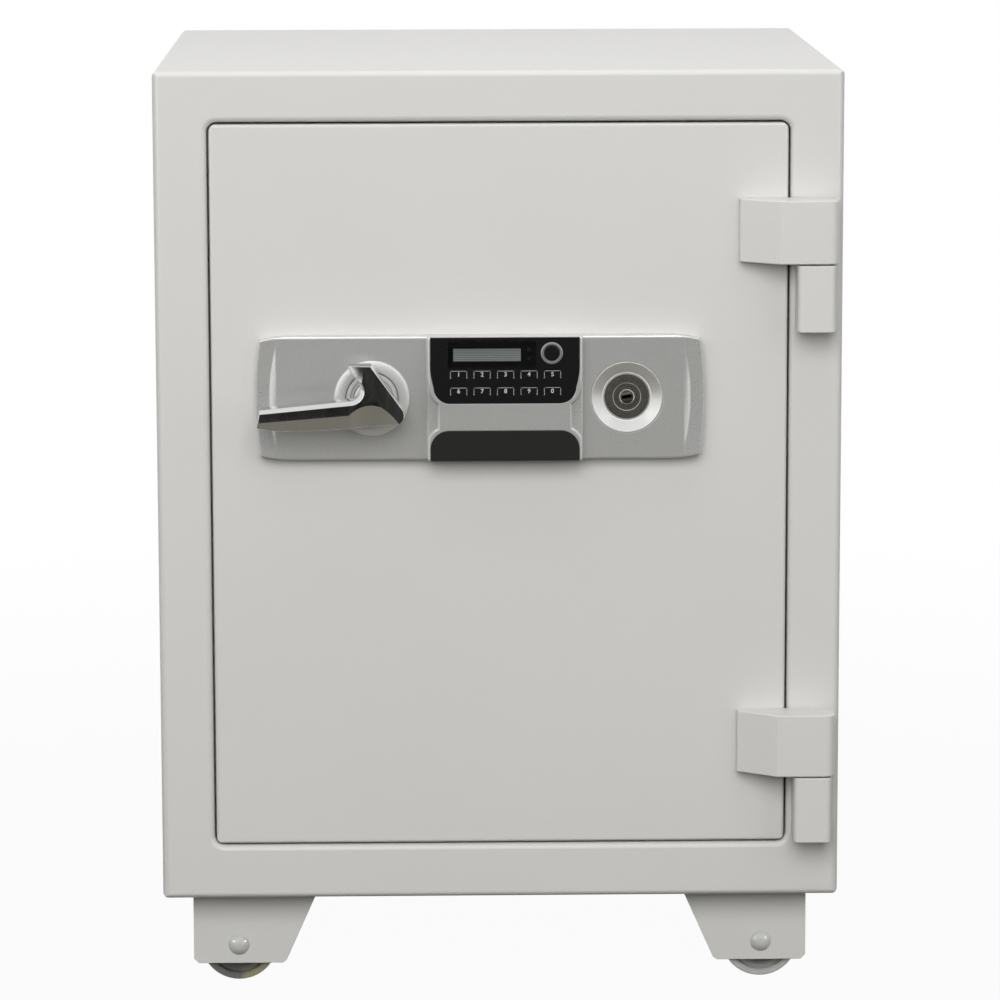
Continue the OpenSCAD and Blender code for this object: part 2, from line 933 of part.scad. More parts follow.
// Fixed bolts on the hinge side, each on a block against the pan
module dead_bolts() {
  tail_len = 30;
  tail_x = cover_w / 2 - tail_len;
  mount_x = tail_x - 2;
  mount_w = 22;
  mount_h = 28;
  color([0.70, 0.70, 0.70])
    for (row = bolt_rows) {
      translate([tail_x, front_y + bolt_depth, door_z + row])
        rotate([0, 90, 0])
          cylinder(r = dead_r, h = tail_len + dead_reach);
      translate([mount_x, front_y + door_t, door_z + row - mount_h / 2])
        cube([mount_w, bolt_depth - door_t + dead_r + 3, mount_h]);
    }
}

// Headed studs on the pan that the carriage slides along
module guide_studs() {
  color([0.70, 0.70, 0.70])
    for (place = stud_places) {
      bar(place[0], door_z + place[1], stud_head_r, door_t, carriage_d - stud_gap);
      bar(place[0], door_z + place[1], stud_r, door_t, carriage_d + carriage_t + 2 * stud_gap);
      bar(place[0], door_z + place[1], stud_head_r, carriage_d + carriage_t + stud_gap,
        carriage_d + carriage_t + stud_gap + stud_head_t);
    }
}

// Flanged bush that carries the spindle behind the pan
module spindle_bush() {
  sleeve_r = spindle_r + 0.9;
  flange_r = spindle_r + 5;
  sleeve_len = 8;
  flange_t = 3;
  color([0.78, 0.62, 0.30])
    turned(handle_x, panel_z)
      polygon([
        [spindle_r + spindle_fit, door_t - sleeve_len],
        [sleeve_r, door_t - sleeve_len],
        [sleeve_r, door_t],
        [flange_r, door_t],
        [flange_r, door_t + flange_t],
        [spindle_r + spindle_fit, door_t + flange_t]
      ]);
}

// Sliding plate that carries the live bolts, with the yoke slot, guide slots and lock pockets
module bolt_carriage() {
  slot_half = stud_r + stud_gap;
  yoke_end = crank_pin_r + 2;
  arm_end_x = key_x + throw + cam_pocket_r + 5;
  window_w = 36;
  window_h = 52;
  window_corner = 8;
  window_mid = -40;
  window_step = 38;
  color([0.62, 0.62, 0.63])
    difference() {
      union() {
        slab(carriage_d, carriage_d + carriage_t)
          translate([flange_x, door_z - flange_half])
            square([upright_w, 2 * flange_half]);
        slab(carriage_d, carriage_d + carriage_t)
          translate([flange_x, door_z + arm_low])
            square([arm_end_x - flange_x, arm_high - arm_low]);
        slab(carriage_d, flange_back)
          translate([flange_x, door_z - flange_half])
            square([carriage_t, 2 * flange_half]);
      }
      for (row = bolt_rows)
        translate([flange_x - eps, front_y + bolt_depth, door_z + row])
          rotate([0, 90, 0])
            cylinder(r = stub_r + stub_play, h = carriage_t + 2 * eps);
      for (place = stud_places)
        slab(carriage_d - eps, carriage_d + carriage_t + eps)
          translate([place[0], door_z + place[1]]) {
            circle(slot_half);
            translate([throw, 0])
              circle(slot_half);
            translate([0, -slot_half])
              square([throw, 2 * slot_half]);
          }
      slab(carriage_d - eps, carriage_d + carriage_t + eps)
        translate([handle_x + throw * cos(crank_start) - crank_pin_r - yoke_gap,
          panel_z + throw * sin(crank_start) - yoke_end])
          square([2 * (crank_pin_r + yoke_gap), throw * (1 - sin(crank_start)) + 2 * yoke_end]);
      slab(carriage_d - eps, carriage_d + carriage_t + eps)
        for (shift = [0, throw])
          translate([key_x + shift, panel_z])
            circle(cam_pocket_r);
      slab(carriage_d - eps, carriage_d + carriage_t + eps)
        for (shift = [0, throw])
          translate([sol_x + shift - plunger_r - notch_play, door_z + arm_high - notch_depth])
            square([2 * (plunger_r + notch_play), notch_depth + eps]);
      for (side = [-1, 1])
        slab(carriage_d - eps, carriage_d + carriage_t + eps)
          translate([flange_x + upright_w / 2, door_z + window_mid + side * window_step])
            round_rect(window_w, window_h, window_corner);
    }
}

// Live bolts with a chamfered nose and a stub through the carriage flange
module live_bolts() {
  nose = 1.5;
  length = flange_x + cover_w / 2 + bolt_tip_rest;
  stub_end = length + carriage_t + nut_t + 1;
  color([0.72, 0.72, 0.73])
    for (row = bolt_rows)
      translate([-cover_w / 2 - bolt_tip_rest, front_y + bolt_depth, door_z + row])
        rotate([0, 90, 0])
          rotate_extrude()
            polygon([
              [0, 0],
              [bolt_r - nose, 0],
              [bolt_r, nose],
              [bolt_r, length],
              [stub_r, length],
              [stub_r, stub_end],
              [0, stub_end]
            ]);
}

// Hexagon nuts that hold the live bolts to the carriage
module bolt_nuts() {
  color([0.70, 0.70, 0.70])
    for (row = bolt_rows)
      translate([flange_x + carriage_t, front_y + bolt_depth, door_z + row])
        rotate([0, 90, 0])
          difference() {
            cylinder(r = nut_r, h = nut_t, $fn = 6);
            translate([0, 0, -eps])
              cylinder(r = stub_r + stub_play, h = nut_t + 2 * eps);
          }
}

// Solenoid frame on the pan, bored for its plunger
module solenoid_body() {
  color([0.35, 0.36, 0.38])
    difference() {
      union() {
        translate([sol_x - sol_w / 2, front_y + door_t, door_z + sol_low])
          cube([sol_w, sol_t, sol_h]);
        translate([sol_x - sol_w / 2 - sol_ear, front_y + door_t, door_z + sol_low + sol_ear])
          cube([sol_w + 2 * sol_ear, 2, sol_h - 2 * sol_ear]);
      }
      translate([sol_x, front_y + sol_mid_d, door_z + sol_low - eps])
        cylinder(r = plunger_r + plunger_play, h = sol_h - 4);
    }
}

// Plunger that drops into a notch of the carriage
module solenoid_plunger() {
  color([0.72, 0.72, 0.73])
    translate([sol_x, front_y + sol_mid_d, door_z + arm_high + plunger_rest])
      cylinder(r = plunger_r, h = sol_h - 2);
}

// Wire from the circuit board through the door to the solenoid
module solenoid_cable() {
  bend_d = door_t + 5;
  color([0.12, 0.12, 0.12]) {
    bar(cable_x, panel_z, cable_r, -board_back_p, bend_d);
    translate([cable_x, front_y + bend_d, panel_z])
      sphere(cable_r);
    translate([cable_x, front_y + bend_d, panel_z])
      cylinder(r = cable_r, h = sol_low - panel_rise);
  }
}

// Front view of the lock panel: straight middle, eased corners and slightly bowed ends
module panel_outline(inset) {
  ease = 26;
  ease_r = 88;
  bow = 3.5;
  half = panel_h / 2 - inset;
  bow_r = (half * half + bow * bow) / (2 * bow);
  mid = (panel_left + panel_right) / 2;
  reach = (panel_right - panel_left) / 2 - inset;
  translate([mid, panel_z]) {
    square([2 * (reach - ease), 2 * half], center = true);
    for (s = [0, 1])
      mirror([s, 0])
        intersection() {
          translate([reach - ease - 0.01, -half])
            square([ease + 0.01, 2 * half]);
          translate([reach - ease, half - ease_r])
            circle(ease_r, $fn = 256);
          translate([reach - ease, ease_r - half])
            circle(ease_r, $fn = 256);
          translate([reach - bow_r, 0])
            circle(bow_r, $fn = 512);
        }
  }
}

// Black keypad field: straight top, long easing sides and round lower corners
module keypad_outline(grow) {
  half = black_w / 2 + grow;
  low = keypad_low - grow;
  ease_r = 60;
  ease_z = low + 29;
  ease_x = half + 0.15 - ease_r;
  corner_r = 11.5 + grow;
  corner_z = low + corner_r;
  corner_x = ease_x + sqrt(ease_r * ease_r - pow(ease_z - corner_z, 2)) - corner_r;
  overlap = 2;
  translate([keypad_x, panel_z]) {
    translate([-half, ease_z])
      square([2 * half, keypad_high - ease_z]);
    intersection() {
      translate([-half, corner_z - overlap])
        square([2 * half, ease_z - corner_z + 2 * overlap]);
      translate([ease_x, ease_z])
        circle(ease_r, $fn = 256);
      translate([-ease_x, ease_z])
        circle(ease_r, $fn = 256);
    }
    translate([-corner_x, low])
      square([2 * corner_x, corner_r]);
    for (s = [-1, 1])
      translate([s * corner_x, corner_z])
        circle(corner_r);
  }
}

// Black battery cover field: round upper corners and a straight bottom
module tray_outline(grow) {
  half = black_w / 2 + grow;
  corner_r = 13.5;
  top = tray_high + grow;
  translate([keypad_x, panel_z])
    intersection() {
      translate([-half, bay_low])
        square([2 * half, top - bay_low]);
      union() {
        translate([-half, bay_low])
          square([2 * half, top - corner_r - bay_low]);
        translate([corner_r - half, bay_low])
          square([2 * (half - corner_r), top - bay_low]);
        for (s = [-1, 1])
          translate([s * (half - corner_r), top - corner_r])
            circle(corner_r);
      }
    }
}

// Shallow scoop at each end of the panel, bounded by a slanted facet
module end_scoop(s, end_x) {
  translate([end_x, 0, 0])
    mirror([s, 0, 0])
      intersection() {
        translate([-40, front_y - wing_p - scoop_r + scoop_depth, panel_z])
          rotate([0, 90, 0])
            cylinder(r = scoop_r, h = 80, $fn = 512);
        translate([-15, front_y - wing_p, panel_z])
          rotate([0, 0, facet_slope])
            translate([0, -20, -panel_h])
              cube([60, 20, 2 * panel_h]);
      }
}

// Moulded housing of the lock: two wings and a raised middle block, hollow from behind
module lock_panel() {
  edge = 1.8;
  window_p = 14;
  floor_p = 0.8;
  color([0.66, 0.66, 0.66])
    difference() {
      union() {
        intersection() {
          slab(-wing_p, 0)
            panel_outline(0);
          side_slab(panel_left - 5, panel_right + 5)
            translate([-wing_p, panel_z])
              front_round(wing_p, panel_h, edge);
        }
        intersection() {
          slab(-block_p, 0)
            translate([keypad_x, panel_z])
              square([block_w, panel_h], center = true);
          side_slab(keypad_x - block_w / 2 - eps, keypad_x + block_w / 2 + eps)
            translate([-block_p, panel_z])
              front_round(block_p, panel_h, edge);
          plan_slab(panel_z - panel_h, panel_z + panel_h)
            translate([keypad_x, -block_p])
              rotate(90)
                mirror([0, 1])
                  front_round(block_p, block_w, edge);
        }
      }
      end_scoop(0, panel_right);
      end_scoop(1, panel_left);
      slab(-block_p - eps, -block_p + plate_t - 0.5)
        keypad_outline(part_gap);
      slab(-block_p, -window_p)
        translate([keypad_x, panel_z + (keypad_low + keypad_high) / 2 + 0.8])
          square([black_w - 23, keypad_high - keypad_low - 7.8], center = true);
      slab(-window_p, eps)
        translate([keypad_x - block_w / 2 + wall, panel_z + divider_z + wall])
          square([block_w - 2 * wall, keypad_high - divider_z - 2 * wall]);
      slab(-block_p - eps, -block_p + wall)
        translate([0, -eps])
          tray_outline(part_gap);
      slab(-block_p - eps, -block_p + wall)
        tray_outline(part_gap);
      slab(-block_p + wall - 0.2, -floor_p)
        translate([keypad_x - black_w / 2 - part_gap, panel_z + bay_low - eps])
          square([black_w + 2 * part_gap, divider_z - bay_low + eps]);
      side_relief();
      for (side = [0, 1])
        wing_pocket(side);
      bar(handle_x, panel_z, neck_r + 1, -wing_p - eps, eps);
      bar(key_x, panel_z, bezel_r + part_gap, -wing_p - eps, bezel_seat - wing_p);
      bar(key_x, panel_z, face_r + 2, -wing_p, eps);
    }
}

// Lowered strips at the block's sides, along a rim round the two black fields
module side_relief() {
  rim = (block_w - black_w) / 2 + 0.4;
  relief_d = 2.2;
  relief_w = 8;
  slab(-block_p - eps, relief_d - block_p)
    difference() {
      translate([keypad_x, panel_z])
        square([block_w + 2 * eps, panel_h - 4], center = true);
      keypad_outline(rim);
      tray_outline(rim);
      translate([keypad_x, panel_z])
        square([block_w - 2 * relief_w, panel_h], center = true);
    }
}

// Hollow behind a wing, with a round boss left standing at the handle or the key
module wing_pocket(side) {
  end_wall = 22;
  inner = keypad_x + (side == 0 ? -1 : 1) * (block_w / 2 + wall);
  outer = side == 0 ? panel_left + end_wall : panel_right - end_wall;
  middle = side == 0 ? handle_x : key_x;
  slab(wall - wing_p + 1, eps)
    difference() {
      translate([min(inner, outer), panel_z - panel_h / 2 + wall])
        square([abs(outer - inner), panel_h - 2 * wall]);
      translate([middle, panel_z])
        circle(bezel_r + 3);
    }
}

// Glossy plate of the keypad, pierced for the keys, the display and the start button
module keypad_plate() {
  color([0.03, 0.03, 0.035])
    difference() {
      slab(-plate_p, plate_t - plate_p)
        keypad_outline(0);
      for (place = key_places)
        slab(-plate_p - eps, plate_t - plate_p + eps)
          translate([place[0], panel_z + place[1]])
            square([key_w + 2 * key_gap, key_tall + 2 * key_gap], center = true);
      slab(-plate_p - eps, plate_t - plate_p + eps)
        translate([lcd_x, panel_z + lcd_z])
          square([lcd_w + 2 * insert_play, lcd_h + 2 * insert_play], center = true);
      for (z = [-led_rise, led_rise])
        bar(led_x, panel_z + lens_z + z, led_r + insert_play, -plate_p - eps,
          plate_t - plate_p + eps);
      bar(start_x, panel_z + start_z, start_r + key_gap, -plate_p - eps, plate_t - plate_p + eps);
    }
}

// Clear lens over the display and the two lamps
module display_lens() {
  color([0.20, 0.22, 0.22, 0.5])
    slab(-plate_p - lens_t, -plate_p)
      translate([lens_x, panel_z + lens_z])
        round_rect(lens_w, lens_h, 1.2);
}

// Liquid crystal module behind the lens
module display_module() {
  color([0.42, 0.47, 0.45])
    slab(3 * insert_play - plate_p, -insert_back_p)
      translate([lcd_x, panel_z + lcd_z])
        square([lcd_w, lcd_h], center = true);
}

// Two indicator lamps beside the display
module status_leds() {
  color([0.30, 0.32, 0.34])
    for (z = [-led_rise, led_rise])
      bar(led_x, panel_z + lens_z + z, led_r, insert_play - plate_p, -insert_back_p);
}

// Rubber mat with a dome behind each key
module key_mat() {
  color([0.35, 0.35, 0.36])
    difference() {
      union() {
        slab(-mat_p, mat_t - mat_p)
          translate([keypad_x, panel_z + (divider_z + keypad_high) / 2])
            square([block_w - 2 * wall - 1, keypad_high - divider_z - 2 * wall - 1], center = true);
        for (place = key_places)
          bar(place[0], panel_z + place[1], dome_r, -mat_p - dome_h, mat_t / 2 - mat_p);
        bar(start_x, panel_z + start_z, dome_r, -mat_p - dome_h, mat_t / 2 - mat_p);
      }
      slab(-mat_p - eps, mat_t - mat_p + eps)
        translate([lcd_x, panel_z + lcd_z])
          square([lcd_w + 4, lcd_h + 2], center = true);
    }
}

// Circuit board behind the keypad
module circuit_board() {
  chip_w = 14;
  chip_t = 3;
  color([0.10, 0.32, 0.16]) {
    slab(-board_p, -board_back_p)
      translate([keypad_x, panel_z + (divider_z + keypad_high) / 2])
        square([block_w - 2 * wall - 2, keypad_high - divider_z - 2 * wall - 2], center = true);
    slab(-board_back_p - board_t / 2, chip_t - board_back_p)
      translate([keypad_x - 22, panel_z + 22])
        square([chip_w, chip_w], center = true);
  }
}

// Bright ring round the start button
module start_ring() {
  ring_in = start_r + key_gap;
  ring_h = 1.4;
  color([0.75, 0.75, 0.75])
    turned(start_x, panel_z + start_z)
      polygon([
        [ring_in, -plate_p],
        [ring_r, -plate_p],
        [ring_r, -plate_p - ring_h + 0.6],
        [ring_r - 0.8, -plate_p - ring_h],
        [ring_in + 0.5, -plate_p - ring_h],
        [ring_in, -plate_p - ring_h + 0.5]
      ]);
}

// Round start button
module start_button() {
  button_p = plate_p + 1.2;
  button_edge = 0.5;
  color([0.05, 0.05, 0.05])
    turned(start_x, panel_z + start_z)
      polygon([
        [0, -key_back_p],
        [start_r, -key_back_p],
        [start_r, button_edge - button_p],
        [start_r - button_edge, -button_p],
        [0, -button_p]
      ]);
}

// Key cap number n in reading order
module key_cap(n) {
  place = key_places[n];
  color([0.04, 0.04, 0.045])
    slab(-key_p, -key_back_p)
      translate([place[0], panel_z + place[1]])
        round_rect(key_w, key_tall, key_corner);
}

module key_1() { key_cap(0); }
module key_2() { key_cap(1); }
module key_3() { key_cap(2); }
module key_4() { key_cap(3); }
module key_5() { key_cap(4); }
module key_6() { key_cap(5); }
module key_7() { key_cap(6); }
module key_8() { key_cap(7); }
module key_9() { key_cap(8); }
module key_0() { key_cap(9); }

// Battery tray with its black front cover; it slides out downwards
module battery_tray() {
  rib_t = 0.8;
  floor_t = 2;
  color([0.07, 0.07, 0.07]) {
    slab(-plate_p, wall - part_gap - block_p)
      tray_outline(-part_gap);
    slab(wall - 2 * part_gap - block_p, -tray_back_p)
      translate([keypad_x - tray_half, panel_z + bay_low])
        square([2 * tray_half, floor_t]);
    slab(-tray_back_p - tray_wall, -tray_back_p)
      translate([keypad_x - tray_half, panel_z + bay_low])
        square([2 * tray_half, tray_h]);
    for (s = [-1, 1])
      slab(-tray_side_p, -tray_back_p)
        translate([keypad_x + s * (tray_half - rib_t / 2) - rib_t / 2, panel_z + bay_low])
          square([rib_t, tray_h]);
  }
}

// Four cells in two rows
module batteries() {
  color([0.75, 0.60, 0.25])
    for (z = cell_rows, s = [-1, 1])
      translate([keypad_x + (s < 0 ? -cell_len - cell_gap : cell_gap), front_y - cell_p, panel_z + z])
        rotate([0, 90, 0]) {
          cylinder(r = cell_r, h = cell_len - cell_tip);
          cylinder(r = cell_tip_r, h = cell_len);
        }
}

// Bright rose round the handle's neck
module handle_rose() {
  bore_r = spindle_r + spindle_fit;
  spigot_r = neck_r + 0.7;
  band_p = wing_p + 2.6;
  groove_p = wing_p + 1.2;
  ring_p = wing_p + 2;
  dish_p = wing_p + 1;
  hub_p = rose_p - 0.3;
  color([0.78, 0.78, 0.78])
    turned(handle_x, panel_z)
      polygon([
        [bore_r, 4 - wing_p],
        [spigot_r, 4 - wing_p],
        [spigot_r, -wing_p],
        [rose_r, -wing_p],
        [rose_r, -groove_p],
        [rose_r - 1.6, 0.3 - band_p],
        [rose_r - 7, -band_p],
        [rose_r - 8, -groove_p],
        [rose_r - 8.8, -groove_p],
        [rose_r - 9.6, -ring_p],
        [rose_r - 11.6, -ring_p],
        [rose_r - 12.8, -dish_p],
        [rose_r - 14, -dish_p],
        [rose_r - 15, -hub_p],
        [bore_r, -hub_p]
      ]);
}

// Front view of the lever about its axis: a fin above the hub and an arm to the left
module lever_outline() {
  side_angle = 35;
  polygon([
    fin_top,
    [-0.5, hub_top],
    hub_corner + hub_side_r * [cos(side_angle), sin(side_angle)],
    hub_corner,
    [hub_corner[0], hub_corner[1] - hub_side_r],
    [-15, -17.2],
    [-45, -18.6],
    [-68, -18.5],
    [arm_tip_x - 2, -16],
    [arm_tip_x, -3],
    arm_end,
    [fin_low[0], arm_end[1]],
    fin_low
  ]);
  translate(hub_corner)
    circle(hub_side_r);
  difference() {
    translate([arm_end[0], arm_end[1] - eps])
      square(throat_r + eps);
    translate([arm_end[0], arm_end[1] + throat_r])
      circle(throat_r);
  }
}

// Cut beside a line of the lever's face, tilted back from it: below it, or above it where tilt < 0
module facet_cut(start, fall, tilt, ahead, length) {
  translate([start[0], 0, start[1]])
    rotate([0, fall, 0])
      rotate([tilt, 0, 0])
        translate([-ahead, -facet_w, tilt > 0 ? -facet_w : 0])
          cube([length, facet_w, facet_w]);
}

// Hollow under an arch on the lever's lower hub: a tilted cylinder whose arch bends with cheek_bend
module cheek_hollow() {
  hollow_r = cheek_bend / sin(cheek_tilt);
  translate([cheek_top[0], 0, cheek_top[1]])
    rotate([cheek_tilt, 0, 0])
      translate([0, -hollow_r, 0])
        cylinder(r = hollow_r, h = 4 * hub_top, center = true);
}

// Conical rim round the lever's throat
module throat_cut() {
  ahead = 1;
  translate([arm_end[0], -ahead, arm_end[1] + throat_r])
    rotate([-90, 0, 0])
      cylinder(r1 = throat_r + throat_rim + ahead, r2 = throat_r - ahead, h = throat_rim + 2 * ahead);
}

// Cast lever: facets along the arm and the fin, a hollow under the hub, with a neck behind
module handle_lever() {
  band_len = arm_end[0] - arm_tip_x;
  color([0.80, 0.80, 0.80])
    difference() {
      union() {
        translate([handle_x, 0, panel_z])
          slab(-handle_p, -lever_back_p)
            lever_outline();
        bar(handle_x, panel_z, neck_r, -lever_back_p - eps, -rose_p);
      }
      translate([handle_x, front_y - handle_p, panel_z]) {
        facet_cut(arm_band, -arm_rise, -band_tilt, 10, band_len + 10);
        facet_cut(arm_foot, -foot_rise, foot_tilt, 10, foot_len + 10);
        cheek_hollow();
        intersection() {
          facet_cut(flank_top, flank_fall, -flank_tilt, flank_len, 2 * flank_len);
          facet_cut(flank_low, flank_low_fall, -flank_tilt, flank_len, 2 * flank_len);
        }
        facet_cut(fin_side, fin_side_fall, flank_tilt, fin_len, fin_len);
        facet_cut(fin_low, fin_rim_fall, fin_rim_tilt, fin_len, fin_len);
        throat_cut();
      }
      bar(handle_x, panel_z, spindle_r + spindle_fit, -lever_back_p - 4, eps - rose_p);
    }
}

// Spindle through the door with the crank disc and its pin
module handle_spindle() {
  color([0.62, 0.62, 0.63]) {
    bar(handle_x, panel_z, spindle_r, -lever_back_p - 3.5, crank_d + crank_t / 2);
    bar(handle_x, panel_z, crank_r, crank_d, crank_d + crank_t);
    bar(handle_x + throw * cos(crank_start), panel_z + throw * sin(crank_start), crank_pin_r,
      crank_d + crank_t / 2, carriage_d + 1.5 * carriage_t);
  }
}

// Dished bezel let into the right wing
module key_bezel() {
  seat_p = wing_p - bezel_seat;
  dish_p = wing_p - 3;
  lip_p = wing_p + 0.6;
  ring_in = face_r + 0.3;
  color([0.75, 0.75, 0.75])
    turned(key_x, panel_z)
      polygon([
        [ring_in, -seat_p],
        [bezel_r, -seat_p],
        [bezel_r, 0.3 - lip_p],
        [bezel_r - 0.6, -lip_p],
        [bezel_r - 1.2, 0.2 - lip_p],
        [face_r + 2.3, -dish_p],
        [face_r + 1.8, -dish_p - 0.6],
        [ring_in, -dish_p - 0.6]
      ]);
}

// Key cylinder: dark face with shallow rings, and a barrel through the door
module key_cylinder() {
  seat_p = wing_p - bezel_seat;
  face_p = wing_p - 2.2;
  groove_p = wing_p - 2.7;
  bore_r = plug_r + plug_fit;
  color([0.30, 0.29, 0.27])
    turned(key_x, panel_z)
      polygon([
        [bore_r, -face_p],
        [plug_r + 1.6, -face_p],
        [plug_r + 1.9, -groove_p],
        [plug_r + 4.5, -groove_p],
        [plug_r + 4.8, -face_p],
        [face_r - 0.6, -face_p],
        [face_r, 0.6 - face_p],
        [face_r, -seat_p],
        [barrel_r, -seat_p],
        [barrel_r, door_t + 3],
        [bore_r, door_t + 3]
      ]);
}

// Turning plug with the keyway, and the cam that stands in the carriage pocket
module key_plug() {
  keyway_w = 6.8;
  keyway_h = 2.4;
  keyway_end_d = 24;
  plug_p = wing_p - 1.9;
  color([0.36, 0.35, 0.33])
    difference() {
      union() {
        bar(key_x, panel_z, plug_r, -plug_p, carriage_d + carriage_t / 2);
        slab(carriage_d, carriage_d + carriage_t)
          translate([key_x, panel_z])
            round_rect(2 * cam_half, cam_w, 2);
      }
      slab(-wing_p, keyway_end_d)
        translate([key_x - keyway_w / 2, panel_z - keyway_h / 2])
          square([keyway_w, keyway_h]);
    }
}

outer_casing();
back_panel();
body_insulation();
door_jamb();
inner_liner();
strike_cups();
shelf();
shelf_rails();
hinge_knuckles();
hinge_pins();
foot_brackets();
wheel_axles();
wheel_front_left();
wheel_front_right();
wheel_rear_left();
wheel_rear_right();
door_skin();
door_insulation();
door_inner_pan();
door_seal();
hinge_arms();
boltwork_cover();
cover_posts();
cover_screws();
dead_bolts();
guide_studs();
spindle_bush();
bolt_carriage();
live_bolts();
bolt_nuts();
solenoid_body();
solenoid_plunger();
solenoid_cable();
lock_panel();
keypad_plate();
display_lens();
display_module();
status_leds();
key_mat();
circuit_board();
start_ring();
start_button();
key_1();
key_2();
key_3();
key_4();
key_5();
key_6();
key_7();
key_8();
key_9();
key_0();
battery_tray();
batteries();
handle_rose();
handle_lever();
handle_spindle();
key_bezel();
key_cylinder();
key_plug();
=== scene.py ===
# Looks of a fireproof safe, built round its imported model. Lengths are in metres, z is up.
import json
import math
import bmesh
import bpy
from mathutils import Matrix, Vector


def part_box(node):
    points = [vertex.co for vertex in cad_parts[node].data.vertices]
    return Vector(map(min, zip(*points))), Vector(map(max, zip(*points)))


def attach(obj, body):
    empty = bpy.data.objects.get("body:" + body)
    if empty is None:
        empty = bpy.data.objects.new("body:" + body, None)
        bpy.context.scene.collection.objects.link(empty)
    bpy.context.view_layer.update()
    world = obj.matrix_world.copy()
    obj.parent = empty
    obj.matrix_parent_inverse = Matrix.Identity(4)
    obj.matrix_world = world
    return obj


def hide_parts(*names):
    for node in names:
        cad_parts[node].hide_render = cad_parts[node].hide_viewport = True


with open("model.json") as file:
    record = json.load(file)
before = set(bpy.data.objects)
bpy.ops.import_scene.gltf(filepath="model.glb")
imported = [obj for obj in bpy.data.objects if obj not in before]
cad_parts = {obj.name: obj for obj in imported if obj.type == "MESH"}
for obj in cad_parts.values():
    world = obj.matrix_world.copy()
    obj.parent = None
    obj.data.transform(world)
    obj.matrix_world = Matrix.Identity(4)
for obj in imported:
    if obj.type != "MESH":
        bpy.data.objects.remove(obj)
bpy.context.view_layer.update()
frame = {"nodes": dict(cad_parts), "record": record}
scene = bpy.context.scene
nodes = frame["nodes"]
record = frame["record"]
bodyOf = {node: body for body, members in record["behaviour"]["bodies"].items() for node in members}
slotOf = {part["node"]: part["material_slot"] for part in record["subparts"]}
mm = 0.001
noiseSpan = (0.3, 0.7)  # most of a noise texture's values lie between these
print("frame loaded:", len(nodes), "nodes")


def hexColour(text):
    # sRGB hex to the linear colour that a node takes
    parts = [int(text[i:i + 2], 16) / 255 for i in (1, 3, 5)]
    return tuple(c / 12.92 if c <= 0.04045 else ((c + 0.055) / 1.055) ** 2.4 for c in parts) + (1.0,)


def addNode(tree, kind, inputs=None, **settings):
    node = tree.nodes.new("ShaderNode" + kind)
    for name, value in settings.items():
        setattr(node, name, value)
    for key, value in (inputs or {}).items():
        if isinstance(value, bpy.types.NodeSocket):
            tree.links.new(value, node.inputs[key])
        else:
            node.inputs[key].default_value = value
    return node


def startMaterial(name):
    material = bpy.data.materials.new(name)
    material.use_nodes = True
    return material, material.node_tree, material.node_tree.nodes["Principled BSDF"]


